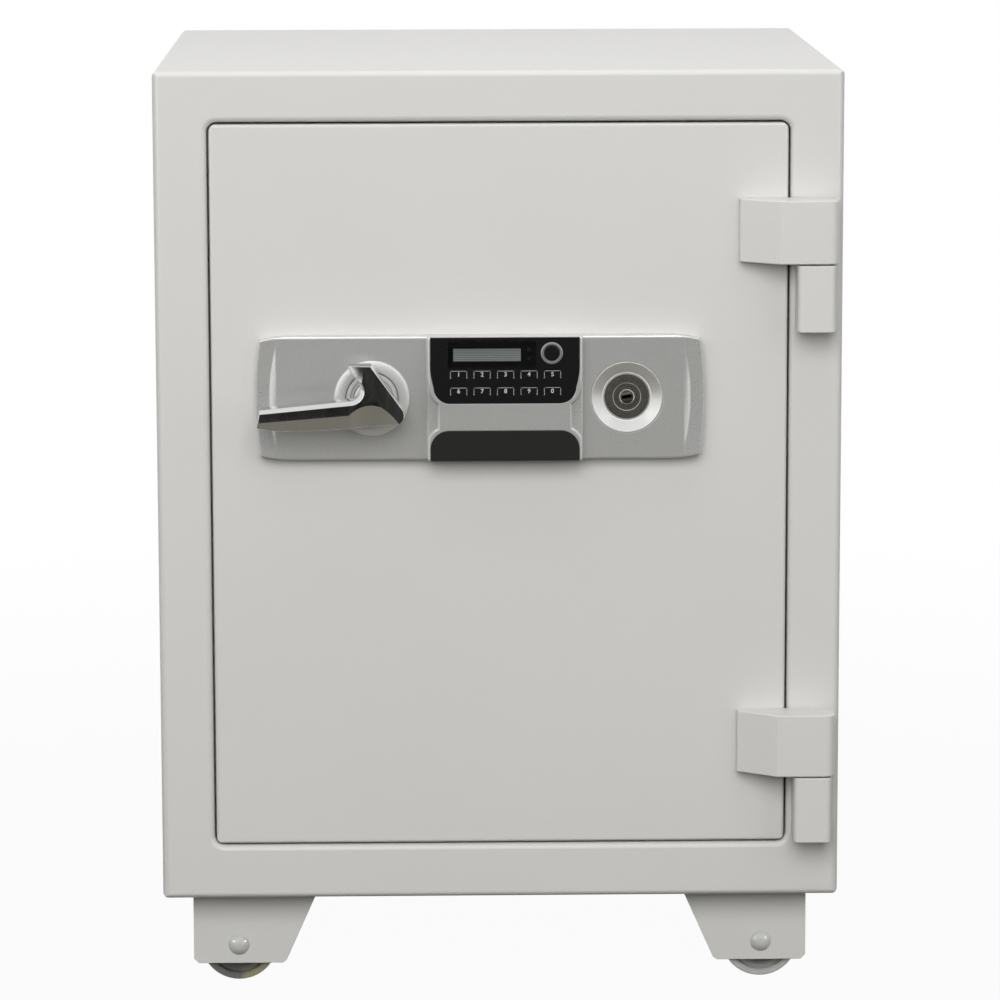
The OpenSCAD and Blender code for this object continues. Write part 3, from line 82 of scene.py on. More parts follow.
# Finishes. Colours are sRGB; mottle, grain, height of the bump and width of a broken edge are in mm.
finishes = {
    # powder coat on sheet steel: even and satin, with a faint orange peel
    "powderCoatedSteel": {"light": "#D1D0CE", "dark": "#CDCCC9", "mottle": 190, "grain": 1.6,
                          "height": 0.006, "rough": (0.34, 0.44)},
    # brushed-on gloss paint of the axle heads, made a little darker as painted shade that offsets the glint lamps
    # lighting only them, with small sharp highlights
    "glossPaintedSteel": {"light": "#A9A9A6", "dark": "#A4A4A1", "mottle": 6, "grain": 1.2,
                          "height": 0.001, "rough": (0.17, 0.19)},
    # stoved enamel on the inner sheets: a little smoother than the outside
    "stovedEnamelSteel": {"light": "#CDCDC9", "dark": "#C8C8C3", "mottle": 120, "grain": 2.4,
                          "height": 0.004, "rough": (0.30, 0.40)},
    # cast insulating concrete: chalky, with pores
    "castInsulation": {"light": "#BDB8AC", "dark": "#A39D90", "mottle": 14, "grain": 2.2,
                       "height": 0.25, "rough": (0.85, 0.95)},
    # extruded heat seal: dull dark grey
    "extrudedSeal": {"light": "#474747", "dark": "#393939", "mottle": 20, "grain": 0.9,
                     "height": 0.03, "rough": (0.70, 0.85)},
    # moulded silicone of the key mat: dull mid grey, hardly any sheen
    "mouldedSilicone": {"light": "#5E5E60", "dark": "#555557", "mottle": 30, "grain": 0.8,
                        "height": 0.01, "rough": (0.55, 0.65)},
    # extruded wire insulation: soft sheen
    "wireInsulation": {"light": "#1C1C1C", "dark": "#161616", "mottle": 10, "grain": 1.0,
                       "height": 0.01, "rough": (0.40, 0.50)},
    # zinc plating on cut sheet: cool grey with rolling marks along x, drawn coarser than they are
    "zincPlatedSteel": {"light": "#B9BABD", "dark": "#A2A3A6", "mottle": 25, "grain": 0.7,
                        "height": 0.01, "rough": (0.30, 0.45), "metal": 1.0, "stretch": (0.12, 1, 1)},
    # ground and plated bolts: bright, with marks round the bar, drawn at 0.5 mm as real ones wouldn't show
    "groundBoltSteel": {"light": "#C9CACC", "dark": "#B8B9BB", "mottle": 30, "grain": 0.5,
                        "height": 0.005, "rough": (0.16, 0.26), "metal": 1.0, "stretch": (1, 0.1, 0.1)},
    # baked coating of the solenoid frame: even slate grey, half dull
    "coatedSolenoidSteel": {"light": "#5B5D61", "dark": "#505256", "mottle": 15, "grain": 0.9,
                            "height": 0.01, "rough": (0.45, 0.55)},
    # turned brass: warm yellow with a fine grain from the tool
    "turnedBrass": {"light": "#C9A75C", "dark": "#B8954B", "mottle": 8, "grain": 0.4,
                    "height": 0.005, "rough": (0.25, 0.35), "metal": 1.0},
    # silver lacquer on moulded plastic: metal flake under a satin coat, edges just broken. The flake is drawn
    # at 0.5 mm, as a real one is too fine to show
    "silverLacqueredPlastic": {"light": "#CBCBCA", "dark": "#C6C6C5", "mottle": 60, "grain": 0.5,
                               "height": 0.003, "rough": (0.26, 0.34), "metal": 0.6, "edge": 1.5},
    # polished black plastic of the keypad: deep black that mirrors the room
    "polishedBlackPlastic": {"light": "#1B1B1C", "dark": "#18181A", "mottle": 40, "grain": 0.8,
                             "height": 0.001, "rough": (0.07, 0.12)},
    # satin black mouldings: black with a broad soft sheen
    "satinBlackPlastic": {"light": "#1C1C1C", "dark": "#171717", "mottle": 40, "grain": 0.6,
                          "height": 0.006, "rough": (0.38, 0.46)},
    # smoked epoxy of the lamps: blue-black and glassy
    "smokedEpoxy": {"light": "#303438", "dark": "#2A2D31", "mottle": 3, "grain": 0.5,
                    "height": 0.001, "rough": (0.08, 0.14)},
    # solder mask on the board: green lacquer, patchy over the tracks
    "solderMaskedBoard": {"light": "#2C6B3F", "dark": "#1F5230", "mottle": 4, "grain": 1.2,
                          "height": 0.01, "rough": (0.25, 0.35)},
    # satin chrome plate of the small ring: grey and soft, with no clear mirror image
    "satinChromePlate": {"light": "#AEAEAC", "dark": "#969694", "mottle": 6, "grain": 0.6,
                         "height": 0.004, "rough": (0.28, 0.38), "metal": 0.75},
    # chrome plate on a hand-polished casting: gently wavy along its length
    "chromePlate": {"light": "#DADADA", "dark": "#D3D3D4", "mottle": 30, "grain": 9,
                    "height": 0.16, "rough": (0.07, 0.12), "metal": 1.0, "stretch": (1, 1, 0.4)},
    # screen-printed ink of the digits on the keys, also used for the painted highlights along their edges: pale,
    # flat and a little uneven
    "printedInkAndHighlight": {"light": "#C8C8C4", "dark": "#B2B2AE", "mottle": 1.2, "grain": 0.3,
                         "height": 0.002, "rough": (0.55, 0.65)},
    # shrink sleeve of the cells: thin glossy film in brass yellow
    "shrinkSleeve": {"light": "#B48F45", "dark": "#9C7A37", "mottle": 20, "grain": 1.5,
                     "height": 0.004, "rough": (0.25, 0.35)},
}


def joinLook(tree, shader, look, tone, grain):
    # Gives the shader its tone, and the roughness and the bump that follow the grain
    low, high = look["rough"]
    rough = addNode(tree, "MapRange", {0: grain, 1: noiseSpan[0], 2: noiseSpan[1], 3: low, 4: high}).outputs[0]
    bump = addNode(tree, "Bump", {"Height": grain, "Distance": look["height"] * mm, "Strength": 1.0})
    tree.links.new(tone, shader.inputs["Base Color"])
    tree.links.new(rough, shader.inputs["Roughness"])
    tree.links.new(bump.outputs[0], shader.inputs["Normal"])
    return bump


def makeFinish(name, look):
    material, tree, shader = startMaterial(name)
    shader.inputs["Metallic"].default_value = look.get("metal", 0.0)
    place = addNode(tree, "TexCoord").outputs["Object"]
    place = addNode(tree, "Mapping", {"Vector": place, "Scale": look.get("stretch", (1, 1, 1))}).outputs[0]
    broad = addNode(tree, "TexNoise", {"Vector": place, "Scale": 1 / (look["mottle"] * mm), "Detail": 3.0})
    fine = addNode(tree, "TexNoise", {"Vector": place, "Scale": 1 / (look["grain"] * mm), "Detail": 4.0})
    tone = addNode(tree, "Mix", {0: broad.outputs[0], 6: hexColour(look["dark"]), 7: hexColour(look["light"])},
                   data_type="RGBA").outputs[2]
    bump = joinLook(tree, shader, look, tone, fine.outputs[0])
    if "edge" in look:
        broken = addNode(tree, "Bevel", {"Radius": look["edge"] * mm}, samples=8)
        tree.links.new(broken.outputs[0], bump.inputs["Normal"])
    return material


materials = {name: makeFinish(name, look) for name, look in finishes.items()}


def turnedMetal(name, node, look):
    # Metal turned on a lathe, sizes in mm: rings about the axis of the node, "ring" apart, which is coarser than
    # a real tool leaves them so that they show, and rings of painted shade and painted highlight where
    # "paintedLightRings" gives radius, reach and colour. A "tint" lies on it in patches of "tintSize".
    low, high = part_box(node)
    centre = (low + high) / 2
    material, tree, shader = startMaterial(name)
    place = whole = addNode(tree, "TexCoord").outputs["Object"]
    if look.get("mirrored"):
        place = addNode(tree, "VectorMath", {0: place}, operation="ABSOLUTE").outputs[0]
        centre.x = abs(centre.x)
    place = addNode(tree, "Mapping", {"Vector": place, "Location": (-centre.x, 0, -centre.z)}).outputs[0]
    flat = addNode(tree, "VectorMath", {0: place, 1: (1, 0, 1)}, operation="MULTIPLY").outputs[0]
    radius = addNode(tree, "VectorMath", {0: flat}, operation="LENGTH").outputs["Value"]
    rings = addNode(tree, "TexNoise", {"W": radius, "Scale": 1 / (look["ring"] * mm), "Detail": 2.0},
                    noise_dimensions="1D").outputs[0]
    cloud = addNode(tree, "TexNoise", {"Vector": place, "Scale": 1 / (look["mottle"] * mm), "Detail": 3.0})
    tone = addNode(tree, "Mix", {0: cloud.outputs[0], 6: hexColour(look["dark"]), 7: hexColour(look["light"])},
                   data_type="RGBA").outputs[2]
    if "tint" in look:
        low, high = look["tintSpan"]
        patches = addNode(tree, "TexNoise", {"Vector": whole, "Scale": 1 / (look["tintSize"] * mm)}).outputs[0]
        share = addNode(tree, "MapRange", {0: patches, 1: low, 2: high, 3: 0.0, 4: look["tintShare"]}).outputs[0]
        tone = addNode(tree, "Mix", {0: share, 6: tone, 7: hexColour(look["tint"])}, data_type="RGBA").outputs[2]
    bare = look.get("metal", 1.0)
    # each of these rings is painted shade or a painted highlight, in the colour it gives, with the metal taken off
    # under it
    for ringRadius, width, shade in look["paintedLightRings"]:
        off = addNode(tree, "Math", {0: radius, 1: ringRadius * mm}, operation="SUBTRACT").outputs[0]
        off = addNode(tree, "Math", {0: off}, operation="ABSOLUTE").outputs[0]
        share = addNode(tree, "MapRange", {0: off, 1: width * mm / 2, 2: width * mm, 3: 1.0, 4: 0.0}).outputs[0]
        tone = addNode(tree, "Mix", {0: share, 6: tone, 7: hexColour(shade)}, data_type="RGBA").outputs[2]
        keep = addNode(tree, "Math", {0: 1.0, 1: share}, operation="SUBTRACT").outputs[0]
        bare = addNode(tree, "Math", {0: bare, 1: keep}, operation="MULTIPLY").outputs[0]
    tree.links.new(bare, shader.inputs["Metallic"])
    joinLook(tree, shader, look, tone, rings)
    materials[name] = material


# satin turned ring under the lever: pale metal, with dark rings painted as shade in and beside its turned hollows
turnedMetal("turnedRoseChrome", "handle_rose", {"light": "#E2E2E1", "dark": "#D8D8D7", "ring": 0.5, "mottle": 12,
                                                "height": 0.004, "rough": (0.34, 0.44), "metal": 0.55,
                                                "paintedLightRings": [(18.6, 0.6, "#6F6F6D"), (15.2, 0.4, "#9A9A98"),
                                                            (12.9, 0.5, "#7C7C7A")]})
# satin chromed zinc casting round the key: pale, with painted highlights as rings on its lips, a bright one inside
# and a duller one outside
turnedMetal("satinBezelChrome", "key_bezel", {"light": "#DCDCDA", "dark": "#CECECC", "ring": 0.4, "mottle": 12,
                                              "height": 0.003, "rough": (0.32, 0.42), "metal": 0.72,
                                              "paintedLightRings": [(25.2, 0.4, "#BEBEBC"), (17.4, 0.6, "#E4E4E2")]})
# tumbled nickel of the lock and its plug: grainy and dark, with thin turned rings painted on, the dark ones as
# painted shade and the pale ones as painted highlights
turnedMetal("tumbledLockNickel", "key_cylinder", {"light": "#9C9B95", "dark": "#55544F", "ring": 0.6,
                                                  "mottle": 1.3, "height": 0.02, "rough": (0.36, 0.5),
                                                  "paintedLightRings": [(10.5, 0.4, "#3E3D3A"), (9.9, 0.3, "#ABAAA4"),
                                                              (15.4, 0.6, "#35342F")]})
turnedMetal("tumbledPlugNickel", "key_plug", {"light": "#84837D", "dark": "#42413C", "ring": 0.5, "mottle": 1.1,
                                              "height": 0.02, "rough": (0.36, 0.5),
                                              "paintedLightRings": [(5.1, 0.34, "#CFCEC8")]})
# turned steel rollers: zinc-plated on the right, yellow-passivated on the left, where the steel is painted darker
# as a painted reflection of the dark surroundings; both have a dark centre of painted shade
turnedMetal("zincRollerSteel", "wheel_front_right", {"light": "#F0F0ED", "dark": "#DADAD6", "ring": 0.9,
                                                     "mottle": 9, "height": 0.02, "rough": (0.28, 0.4),
                                                     "mirrored": True, "metal": 0.3,
                                                     "paintedLightRings": [(0, 33.0, "#2C2C2B")]})
turnedMetal("passivatedRollerSteel", "wheel_front_left", {"light": "#8E8E8B", "dark": "#5E5E5C", "ring": 0.9,
                                                          "mottle": 5, "height": 0.03, "rough": (0.28, 0.4),
                                                          "tint": "#B9B683", "tintSize": 34, "tintShare": 0.8,
                                                          "tintSpan": (0.5, 0.62), "mirrored": True,
                                                          "metal": 0.4, "paintedLightRings": [(0, 33.0, "#242423")]})

# Display: reflective liquid crystal panel, grey-green, with painted shade making it a little darker under its
# upper edge. Its lines are drawn 1.26 mm apart, as the real ones are too fine to show
display = {"top": "#ADB3B1", "bottom": "#CCD2CF", "lines": "#87908C", "linePitch": 1.2633, "rough": 0.25}


def displayGlass(look):
    low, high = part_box("display_module")
    material, tree, shader = startMaterial("liquidCrystalPanel")
    shader.inputs["Roughness"].default_value = look["rough"]
    place = addNode(tree, "TexCoord").outputs["Object"]
    height = addNode(tree, "SeparateXYZ", {0: place}).outputs["Z"]
    # painted shade: the panel runs darker towards its upper edge
    rise = addNode(tree, "MapRange", {0: height, 1: low.z, 2: high.z, 3: 1.0, 4: 0.0}).outputs[0]
    waves = 2 * math.pi / (20 * look["linePitch"] * mm)  # a wave texture turns 20 radians a unit
    lines = addNode(tree, "TexWave", {"Vector": place, "Scale": waves, "Distortion": 0.0}, bands_direction="Z")
    tone = addNode(tree, "Mix", {0: rise, 6: hexColour(look["top"]), 7: hexColour(look["bottom"])},
                   data_type="RGBA").outputs[2]
    tone = addNode(tree, "Mix", {0: lines.outputs[1], 6: tone, 7: hexColour(look["lines"])}, data_type="RGBA")
    tree.links.new(tone.outputs[2], shader.inputs["Base Color"])
    materials["liquidCrystalPanel"] = material


displayGlass(display)

# Window over the display: polished smoked cover, nearly clear, seen by its reflections
window = {"light": "#101112", "dark": "#0C0D0E", "mottle": 30, "grain": 2.0, "height": 0.0005,
          "rough": (0.03, 0.05), "alpha": 0.22}
materials["smokedAcrylic"] = makeFinish("smokedAcrylic", window)
materials["smokedAcrylic"].node_tree.nodes["Principled BSDF"].inputs["Alpha"].default_value = window["alpha"]

# Finish of each material slot of the record
slotFinish = {
    "casing_paint": "powderCoatedSteel", "inner_paint": "stovedEnamelSteel", "insulation": "castInsulation",
    "seal": "extrudedSeal", "mat_rubber": "mouldedSilicone", "cable_black": "wireInsulation",
    "plain_steel": "zincPlatedSteel", "bolt_steel": "groundBoltSteel", "solenoid_grey": "coatedSolenoidSteel",
    "bush_brass": "turnedBrass", "roller_zinc": "zincRollerSteel", "panel_silver": "silverLacqueredPlastic",
    "keypad_gloss": "polishedBlackPlastic", "tray_black": "satinBlackPlastic", "lens_clear": "smokedAcrylic",
    "display_grey": "liquidCrystalPanel", "lamp_smoke": "smokedEpoxy", "board_green": "solderMaskedBoard",
    "bright_chrome": "chromePlate", "lock_nickel": "tumbledLockNickel", "cell_wrap": "shrinkSleeve",
}
for name, node in nodes.items():
    node.data.materials.clear()
    node.data.materials.append(materials[slotFinish[slotOf[name]]])
print("finishes made:", len(materials))


# Work on the meshes: welds in mm, angles in degrees
meshWork = {"weld": 0.002, "flat": 0.3, "sharp": 38, "softFrom": 28, "spinSteps": 128, "spinWeld": 0.001}


def placePiece(name, work, node, finish, replaced=(), sharp=meshWork["sharp"]):
    # Makes an object of a finished bmesh, rides it on the body of a CAD node, gives it the finish it is handed and
    # hides the nodes it replaces
    mesh = bpy.data.meshes.new(name)
    work.to_mesh(mesh)
    work.free()
    mesh.shade_smooth()
    mesh.set_sharp_from_angle(angle=math.radians(sharp))
    piece = bpy.data.objects.new(name, mesh)
    scene.collection.objects.link(piece)
    mesh.materials.append(materials[finish])
    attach(piece, bodyOf[node])
    if replaced:
        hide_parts(*replaced)
    return piece


def weldFlat(work, reach, angle):
    bmesh.ops.remove_doubles(work, verts=work.verts, dist=reach * mm)
    bmesh.ops.dissolve_limit(work, angle_limit=math.radians(angle), verts=work.verts, edges=work.edges)


def mergedMesh(node):
    # CAD triangles welded together, with the flat faces joined up again
    work = bmesh.new()
    work.from_mesh(nodes[node].data)
    weldFlat(work, meshWork["weld"], meshWork["flat"])
    return work


def softenEdges(work, radius, segments=2):
    least = math.radians(meshWork["softFrom"])
    edges = [edge for edge in work.edges if len(edge.link_faces) == 2 and edge.calc_face_angle(0) > least]
    bmesh.ops.bevel(work, geom=edges, offset=radius * mm, offset_type="OFFSET", affect="EDGES",
                    segments=segments, profile=0.5, material=-1, clamp_overlap=False)


def evenNormals(piece):
    weight = piece.modifiers.new("evenNormals", "WEIGHTED_NORMAL")
    weight.keep_sharp = True


def moveCorners(work, shape):
    # Moves the corners that the shape names and joins up what then lies flat
    for fromPlace, toPlace in shape["moves"]:
        for vert in work.verts:
            if (vert.co - Vector(fromPlace) * mm).length < shape["match"] * mm:
                vert.co = Vector(toPlace) * mm
    weldFlat(work, shape["weld"], shape["flat"])


def softCopy(node, name, radius=0.0, segments=2, sharp=meshWork["sharp"], finish=None, turn=0.0, shape=None):
    # Copy of a CAD node with its sharp edges rounded to a radius in mm
    work = mergedMesh(node)
    if shape:
        moveCorners(work, shape)
    if radius:
        softenEdges(work, radius, segments)
    if turn:
        low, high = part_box(node)
        bmesh.ops.rotate(work, verts=work.verts, cent=(low + high) / 2,
                         matrix=Matrix.Rotation(math.radians(turn), 3, "Y"))
    evenNormals(placePiece(name, work, node, finish or slotFinish[slotOf[node]], (node,), sharp))


# Sheet metal, castings and mouldings that keep the CAD shape with softer edges; radii in mm
softPieces = {
    "outer_casing": ("casingShell", 0.3), "door_skin": ("doorSkin", 0.0), "hinge_arms": ("hingeArms", 0.9),
    "hinge_knuckles": ("hingeKnuckles", 0.7), "hinge_pins": ("hingePins", 0.4),
    "keypad_plate": ("keypadPlate", 0.3), "battery_tray": ("batteryTray", 0.25),
    "display_lens": ("displayLens", 0.2), "start_button": ("startButton", 0.0),
    "wheel_front_right": ("rollerFrontRight", 0.4), "wheel_rear_right": ("rollerRearRight", 0.4),
    "door_jamb": ("doorJamb", 0.4), "inner_liner": ("innerLiner", 0.0), "shelf": ("shelfSheet", 0.3),
    "boltwork_cover": ("boltworkCover", 0.4), "live_bolts": ("liveBolts", 0.0),
    "dead_bolts": ("deadBolts", 0.5), "back_panel": ("backPanel", 0.3),
    "door_inner_pan": ("doorPan", 0.4), "cover_screws": ("coverScrews", 0.0),
}
for node, (name, radius) in softPieces.items():
    softCopy(node, name, radius)

# Lever: the lower facet of its arm is steeper than the solid's, so that the floor shows in it and not the door.
# The places are in mm; "match" is how near to one a corner lies to be moved, "flat" an angle in degrees.
leverShape = {"round": 0.5, "match": 0.1, "weld": 0.2, "flat": 2,
              "moves": [((-172, -245.91, 422), (-172, -247.91, 422)),
                        ((-159, -241.7, 419.5), (-159, -245.76, 419.5)),
                        ((-136, -239.39, 419.4), (-136, -244.57, 419.4)),
                        ((-106.41, -238.2, 420.78), (-106.41, -243.96, 420.78))]}
softCopy("handle_lever", "lever", leverShape["round"], shape=leverShape)

# Pieces with a finish, a turn or crispness of their own
softCopy("lock_panel", "lockPanel", sharp=10)  # keeps the shallow facets at its ends crisp
softCopy("wheel_axles", "axleHeads", 0.3, finish="glossPaintedSteel")
softCopy("start_ring", "startRing", finish="satinChromePlate")
softCopy("wheel_front_left", "rollerFrontLeft", 0.4, finish="passivatedRollerSteel")
softCopy("wheel_rear_left", "rollerRearLeft", 0.4, finish="passivatedRollerSteel")
softCopy("key_plug", "keyPlug", finish="tumbledPlugNickel", turn=-10)  # the slot rests a little askew
print("softened pieces:", len(softPieces) + 7)

# Feet: the slanted edge of each bracket leans more than its solid's. The places are mm from the outer side, and
# height; "match" is how near to one a corner lies to be moved.
bracketShape = {"outer": 224.5, "round": 0.5, "match": 0.3,
                "moves": {(88, 70): (92, 70), (85, 70): (89, 70), (85, 67): (89, 67),
                          (71.75, 17.5): (67.9, 16.2), (66.5, 14): (64.9, 14)}}


def makeBrackets(shape):
    work = mergedMesh("foot_brackets")
    for vert in work.verts:
        inward = shape["outer"] - abs(vert.co.x) / mm
        for (fromIn, fromUp), (toIn, toUp) in shape["moves"].items():
            if max(abs(inward - fromIn), abs(vert.co.z / mm - fromUp)) < shape["match"]:
                vert.co.x = math.copysign((shape["outer"] - toIn) * mm, vert.co.x)
                vert.co.z = toUp * mm
    softenEdges(work, shape["round"])
    evenNormals(placePiece("footBrackets", work, "foot_brackets", "powderCoatedSteel", ("foot_brackets",)))


makeBrackets(bracketShape)
print("feet shaped: 4")


def spunRing(name, node, profile, finish):
    # Turned about the axis of its CAD node; the profile is radius and height in front of the door, in mm
    low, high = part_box(node)
    axis = Vector(((low.x + high.x) / 2, 0, (low.z + high.z) / 2))
    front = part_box("door_skin")[0].y
    work = bmesh.new()
    corners = [work.verts.new((axis.x + r * mm, front - p * mm, axis.z)) for r, p in profile]
    for first, second in zip(corners, corners[1:] + corners[:1]):
        work.edges.new((first, second))
    bmesh.ops.spin(work, geom=list(work.verts) + list(work.edges), cent=axis, axis=(0, 1, 0),
                   angle=2 * math.pi, steps=meshWork["spinSteps"], use_merge=True, use_duplicate=False)
    bmesh.ops.remove_doubles(work, verts=work.verts, dist=meshWork["spinWeld"] * mm)
    bmesh.ops.recalc_face_normals(work, faces=work.faces)
    placePiece(name, work, node, finish, (node,))


# Ring under the lever: broad band, then two turned grooves with a step between them
roseProfile = [(6.05, 8), (9.7, 8), (9.7, 12), (27, 12), (27, 13.0), (26.6, 13.7), (25.6, 14.2), (20.4, 14.7),
               (20.0, 14.6), (19.3, 13.5), (18.9, 13.1), (18.2, 13.1), (17.8, 13.6), (17.5, 14.0), (17.0, 14.1),
               (15.8, 14.3), (15.3, 14.2), (14.6, 13.4), (14.1, 13.1), (13.2, 13.1), (12.8, 13.5), (12.3, 14.4),
               (11.6, 14.7), (6.05, 14.7)]
spunRing("handleRose", "handle_rose", roseProfile, "turnedRoseChrome")
# Ring of the key lock: rounded lip, then a slope down to the lock
bezelProfile = [(15.8, 7), (25.5, 7), (25.5, 12.2), (25.3, 12.45), (25.0, 12.6), (24.7, 12.55), (24.3, 12.3),
                (18.1, 9.1), (17.8, 8.9), (17.5, 8.5), (17.2, 8.4), (15.8, 8.4)]
spunRing("keyBezel", "key_bezel", bezelProfile, "satinBezelChrome")
print("turned pieces: 2")

# Keys: softened caps with a printed digit, and a painted highlight drawn as a pale bracket along the upper edge
# and the sides; in mm.
# "swell" makes the digit's strokes bolder, "inset" and "foot" place the bracket, "dotFoot" the painted-highlight
# dots at its ends.
keyCap = {"round": 0.35, "segments": 3}
keyPrint = {"digit": 4.4, "swell": 0.06, "line": 0.26, "topLine": 10.6, "sideLine": 4.4, "inset": 0.45,
            "foot": 0.5, "dot": 0.36, "dotFoot": 0.6, "dotSides": 12, "raise": 0.04, "thick": 0.06}
upright = Matrix.Rotation(math.pi / 2, 4, "X")


def flatDigit(label):
    curve = bpy.data.curves.new("digit", "FONT")
    curve.body = label
    curve.size = keyPrint["digit"] * mm
    curve.align_x, curve.align_y = "CENTER", "CENTER"
    curve.offset = keyPrint["swell"] * mm
    holder = bpy.data.objects.new("digit", curve)
    scene.collection.objects.link(holder)
    bpy.context.view_layer.update()
    mesh = bpy.data.meshes.new_from_object(holder.evaluated_get(bpy.context.evaluated_depsgraph_get()))
    bpy.data.objects.remove(holder)
    return mesh


def paintedHighlightLine(work, place, width, height):
    bmesh.ops.create_grid(work, x_segments=1, y_segments=1, size=0.5,
                          matrix=Matrix.Translation(place) @ upright @ Matrix.Diagonal((width, height, 1, 1)))


def makeKey(label):
    node = "key_" + label
    softCopy(node, "keyCap" + label, keyCap["round"], keyCap["segments"])
    low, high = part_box(node)
    centre = (low + high) / 2
    front = low.y - keyPrint["raise"] * mm
    line, side, inset = (keyPrint[key] * mm for key in ("line", "sideLine", "inset"))
    work = bmesh.new()
    work.from_mesh(flatDigit(label))
    bmesh.ops.transform(work, verts=work.verts,
                        matrix=Matrix.Translation((centre.x, front, centre.z)) @ upright)
    # the bracket lines and the dots at their ends are painted highlights of the cap's edges, not print
    paintedHighlightLine(work, (centre.x, front, high.z - inset), keyPrint["topLine"] * mm, line)
    for x in (low.x + inset, high.x - inset):
        paintedHighlightLine(work, (x, front, low.z + keyPrint["foot"] * mm + side / 2), line, side)
        bmesh.ops.create_circle(work, cap_ends=True, radius=keyPrint["dot"] * mm, segments=keyPrint["dotSides"],
                                matrix=Matrix.Translation((x, front, low.z + keyPrint["dotFoot"] * mm)) @ upright)
    bmesh.ops.solidify(work, geom=list(work.faces), thickness=keyPrint["thick"] * mm)
    bmesh.ops.recalc_face_normals(work, faces=work.faces)
    placePiece("keyPrint" + label, work, node, "printedInkAndHighlight")


for label in "1234567890":
    makeKey(label)
print("keys made: 10")

# Camera, fitted to the corners of the body and the door in the photograph
cameraSetup = {"place": (-0.0666, -3.5, 0.9087), "yaw": 1.159, "pitch": 9.4, "roll": -0.133, "lens": 168.08,
               "sensor": 36}


def makeCamera(setup):
    yaw, pitch, roll = (math.radians(setup[key]) for key in ("yaw", "pitch", "roll"))
    ahead = Vector((math.sin(yaw) * math.cos(pitch), math.cos(yaw) * math.cos(pitch), -math.sin(pitch)))
    right = ahead.cross(Vector((0, 0, 1))).normalized()
    up = right.cross(ahead)
    turned = Matrix((right, up, -ahead)).transposed() @ Matrix.Rotation(roll, 3, "Z")
    data = bpy.data.cameras.new("camera")
    data.lens = setup["lens"]
    data.sensor_width = setup["sensor"]
    camera = bpy.data.objects.new("camera", data)
    camera.matrix_world = Matrix.Translation(setup["place"]) @ turned.to_4x4()
    scene.collection.objects.link(camera)
    scene.camera = camera


makeCamera(cameraSetup)
print("camera placed")

# Studio: white surroundings, a pale floor that keeps the shadow, soft lamps, and dark cards for the chrome.
# The floor glows from "floorGlow" near the safe to full white further off, over "glowRange".
studio = {"ambient": 0.33, "floorHalf": 6, "floorCells": 8, "floorColour": "#57584F", "floorRough": 0.9,
          "floorGlow": 0.96, "glowRange": (0.6, 1.8), "target": (0, 0, 0.35)}

# Lamps: place, width, height, power and whether reflections show them
lamps = {
    "topLamp": ((0, -0.35, 2.4), 1.8, 1.2, 14, False),
    "frontLamp": ((-0.2, -3.0, 1.8), 2.2, 1.8, 73, False),
    "leftLamp": ((-1.9, -2.4, 1.1), 0.8, 2.1, 8, True),
    "rightLamp": ((2.0, -2.4, 1.1), 0.8, 2.1, 7, True),
    "backLeftLamp": ((-2.3, 2.8, 0.8), 1.2, 1.6, 42, False),
    "backRightLamp": ((2.3, 2.8, 0.8), 1.2, 1.6, 42, False),
}
# Glints: lamps (place, width, height, power) that reach only the named piece
glints = {
    "axleHeads": {"leftGlint": ((-2.16, -1.62, 0.99), 0.36, 0.36, 22),
                  "rightGlint": ((2.16, -1.62, 0.99), 0.36, 0.36, 25)},
    "lockPanel": {"topGlint": ((0, -0.6, 1.9), 2.0, 0.4, 12)},
}


def whiteForView(tree, strength):
    # Share of plain white that camera, glossy and transmitted rays see; for all other rays it is 0
    path = addNode(tree, "LightPath")
    seen = addNode(tree, "Math", {0: path.outputs["Is Camera Ray"], 1: path.outputs["Is Glossy Ray"]},
                   operation="MAXIMUM").outputs[0]
    seen = addNode(tree, "Math", {0: seen, 1: path.outputs["Is Transmission Ray"]}, operation="MAXIMUM").outputs[0]
    return addNode(tree, "Math", {0: seen, 1: strength}, operation="MULTIPLY").outputs[0]


def makeStudio(setup):
    world = bpy.data.worlds.new("studioWorld")
    scene.world = world
    world.use_nodes = True
    tree = world.node_tree
    background = tree.nodes["Background"]
    background.inputs["Color"].default_value = (1, 1, 1, 1)
    share = whiteForView(tree, 1.0)
    level = addNode(tree, "MapRange", {0: share, 3: setup["ambient"], 4: 1.0}).outputs[0]
    tree.links.new(level, background.inputs["Strength"])
    floor = bmesh.new()
    cells = setup["floorCells"]
    bmesh.ops.create_grid(floor, x_segments=cells, y_segments=cells, size=setup["floorHalf"])
    mesh = bpy.data.meshes.new("floor")
    floor.to_mesh(mesh)
    floor.free()
    ground = bpy.data.objects.new("floor", mesh)
    scene.collection.objects.link(ground)
    paper, tree, shader = startMaterial("matteStudioPaper")
    shader.inputs["Base Color"].default_value = hexColour(setup["floorColour"])
    shader.inputs["Roughness"].default_value = setup["floorRough"]
    shader.inputs["Specular IOR Level"].default_value = 0.0
    glow = addNode(tree, "Emission", {"Color": (1, 1, 1, 1), "Strength": 1.0})
    place = addNode(tree, "TexCoord").outputs["Object"]
    away = addNode(tree, "VectorMath", {0: place}, operation="LENGTH").outputs["Value"]
    near, far = setup["glowRange"]
    level = addNode(tree, "MapRange", {0: away, 1: near, 2: far, 3: setup["floorGlow"], 4: 1.0}).outputs[0]
    share = whiteForView(tree, level)
    both = addNode(tree, "MixShader", {0: share, 1: shader.outputs[0], 2: glow.outputs[0]})
    tree.links.new(both.outputs[0], tree.nodes["Material Output"].inputs["Surface"])
    mesh.materials.append(paper)


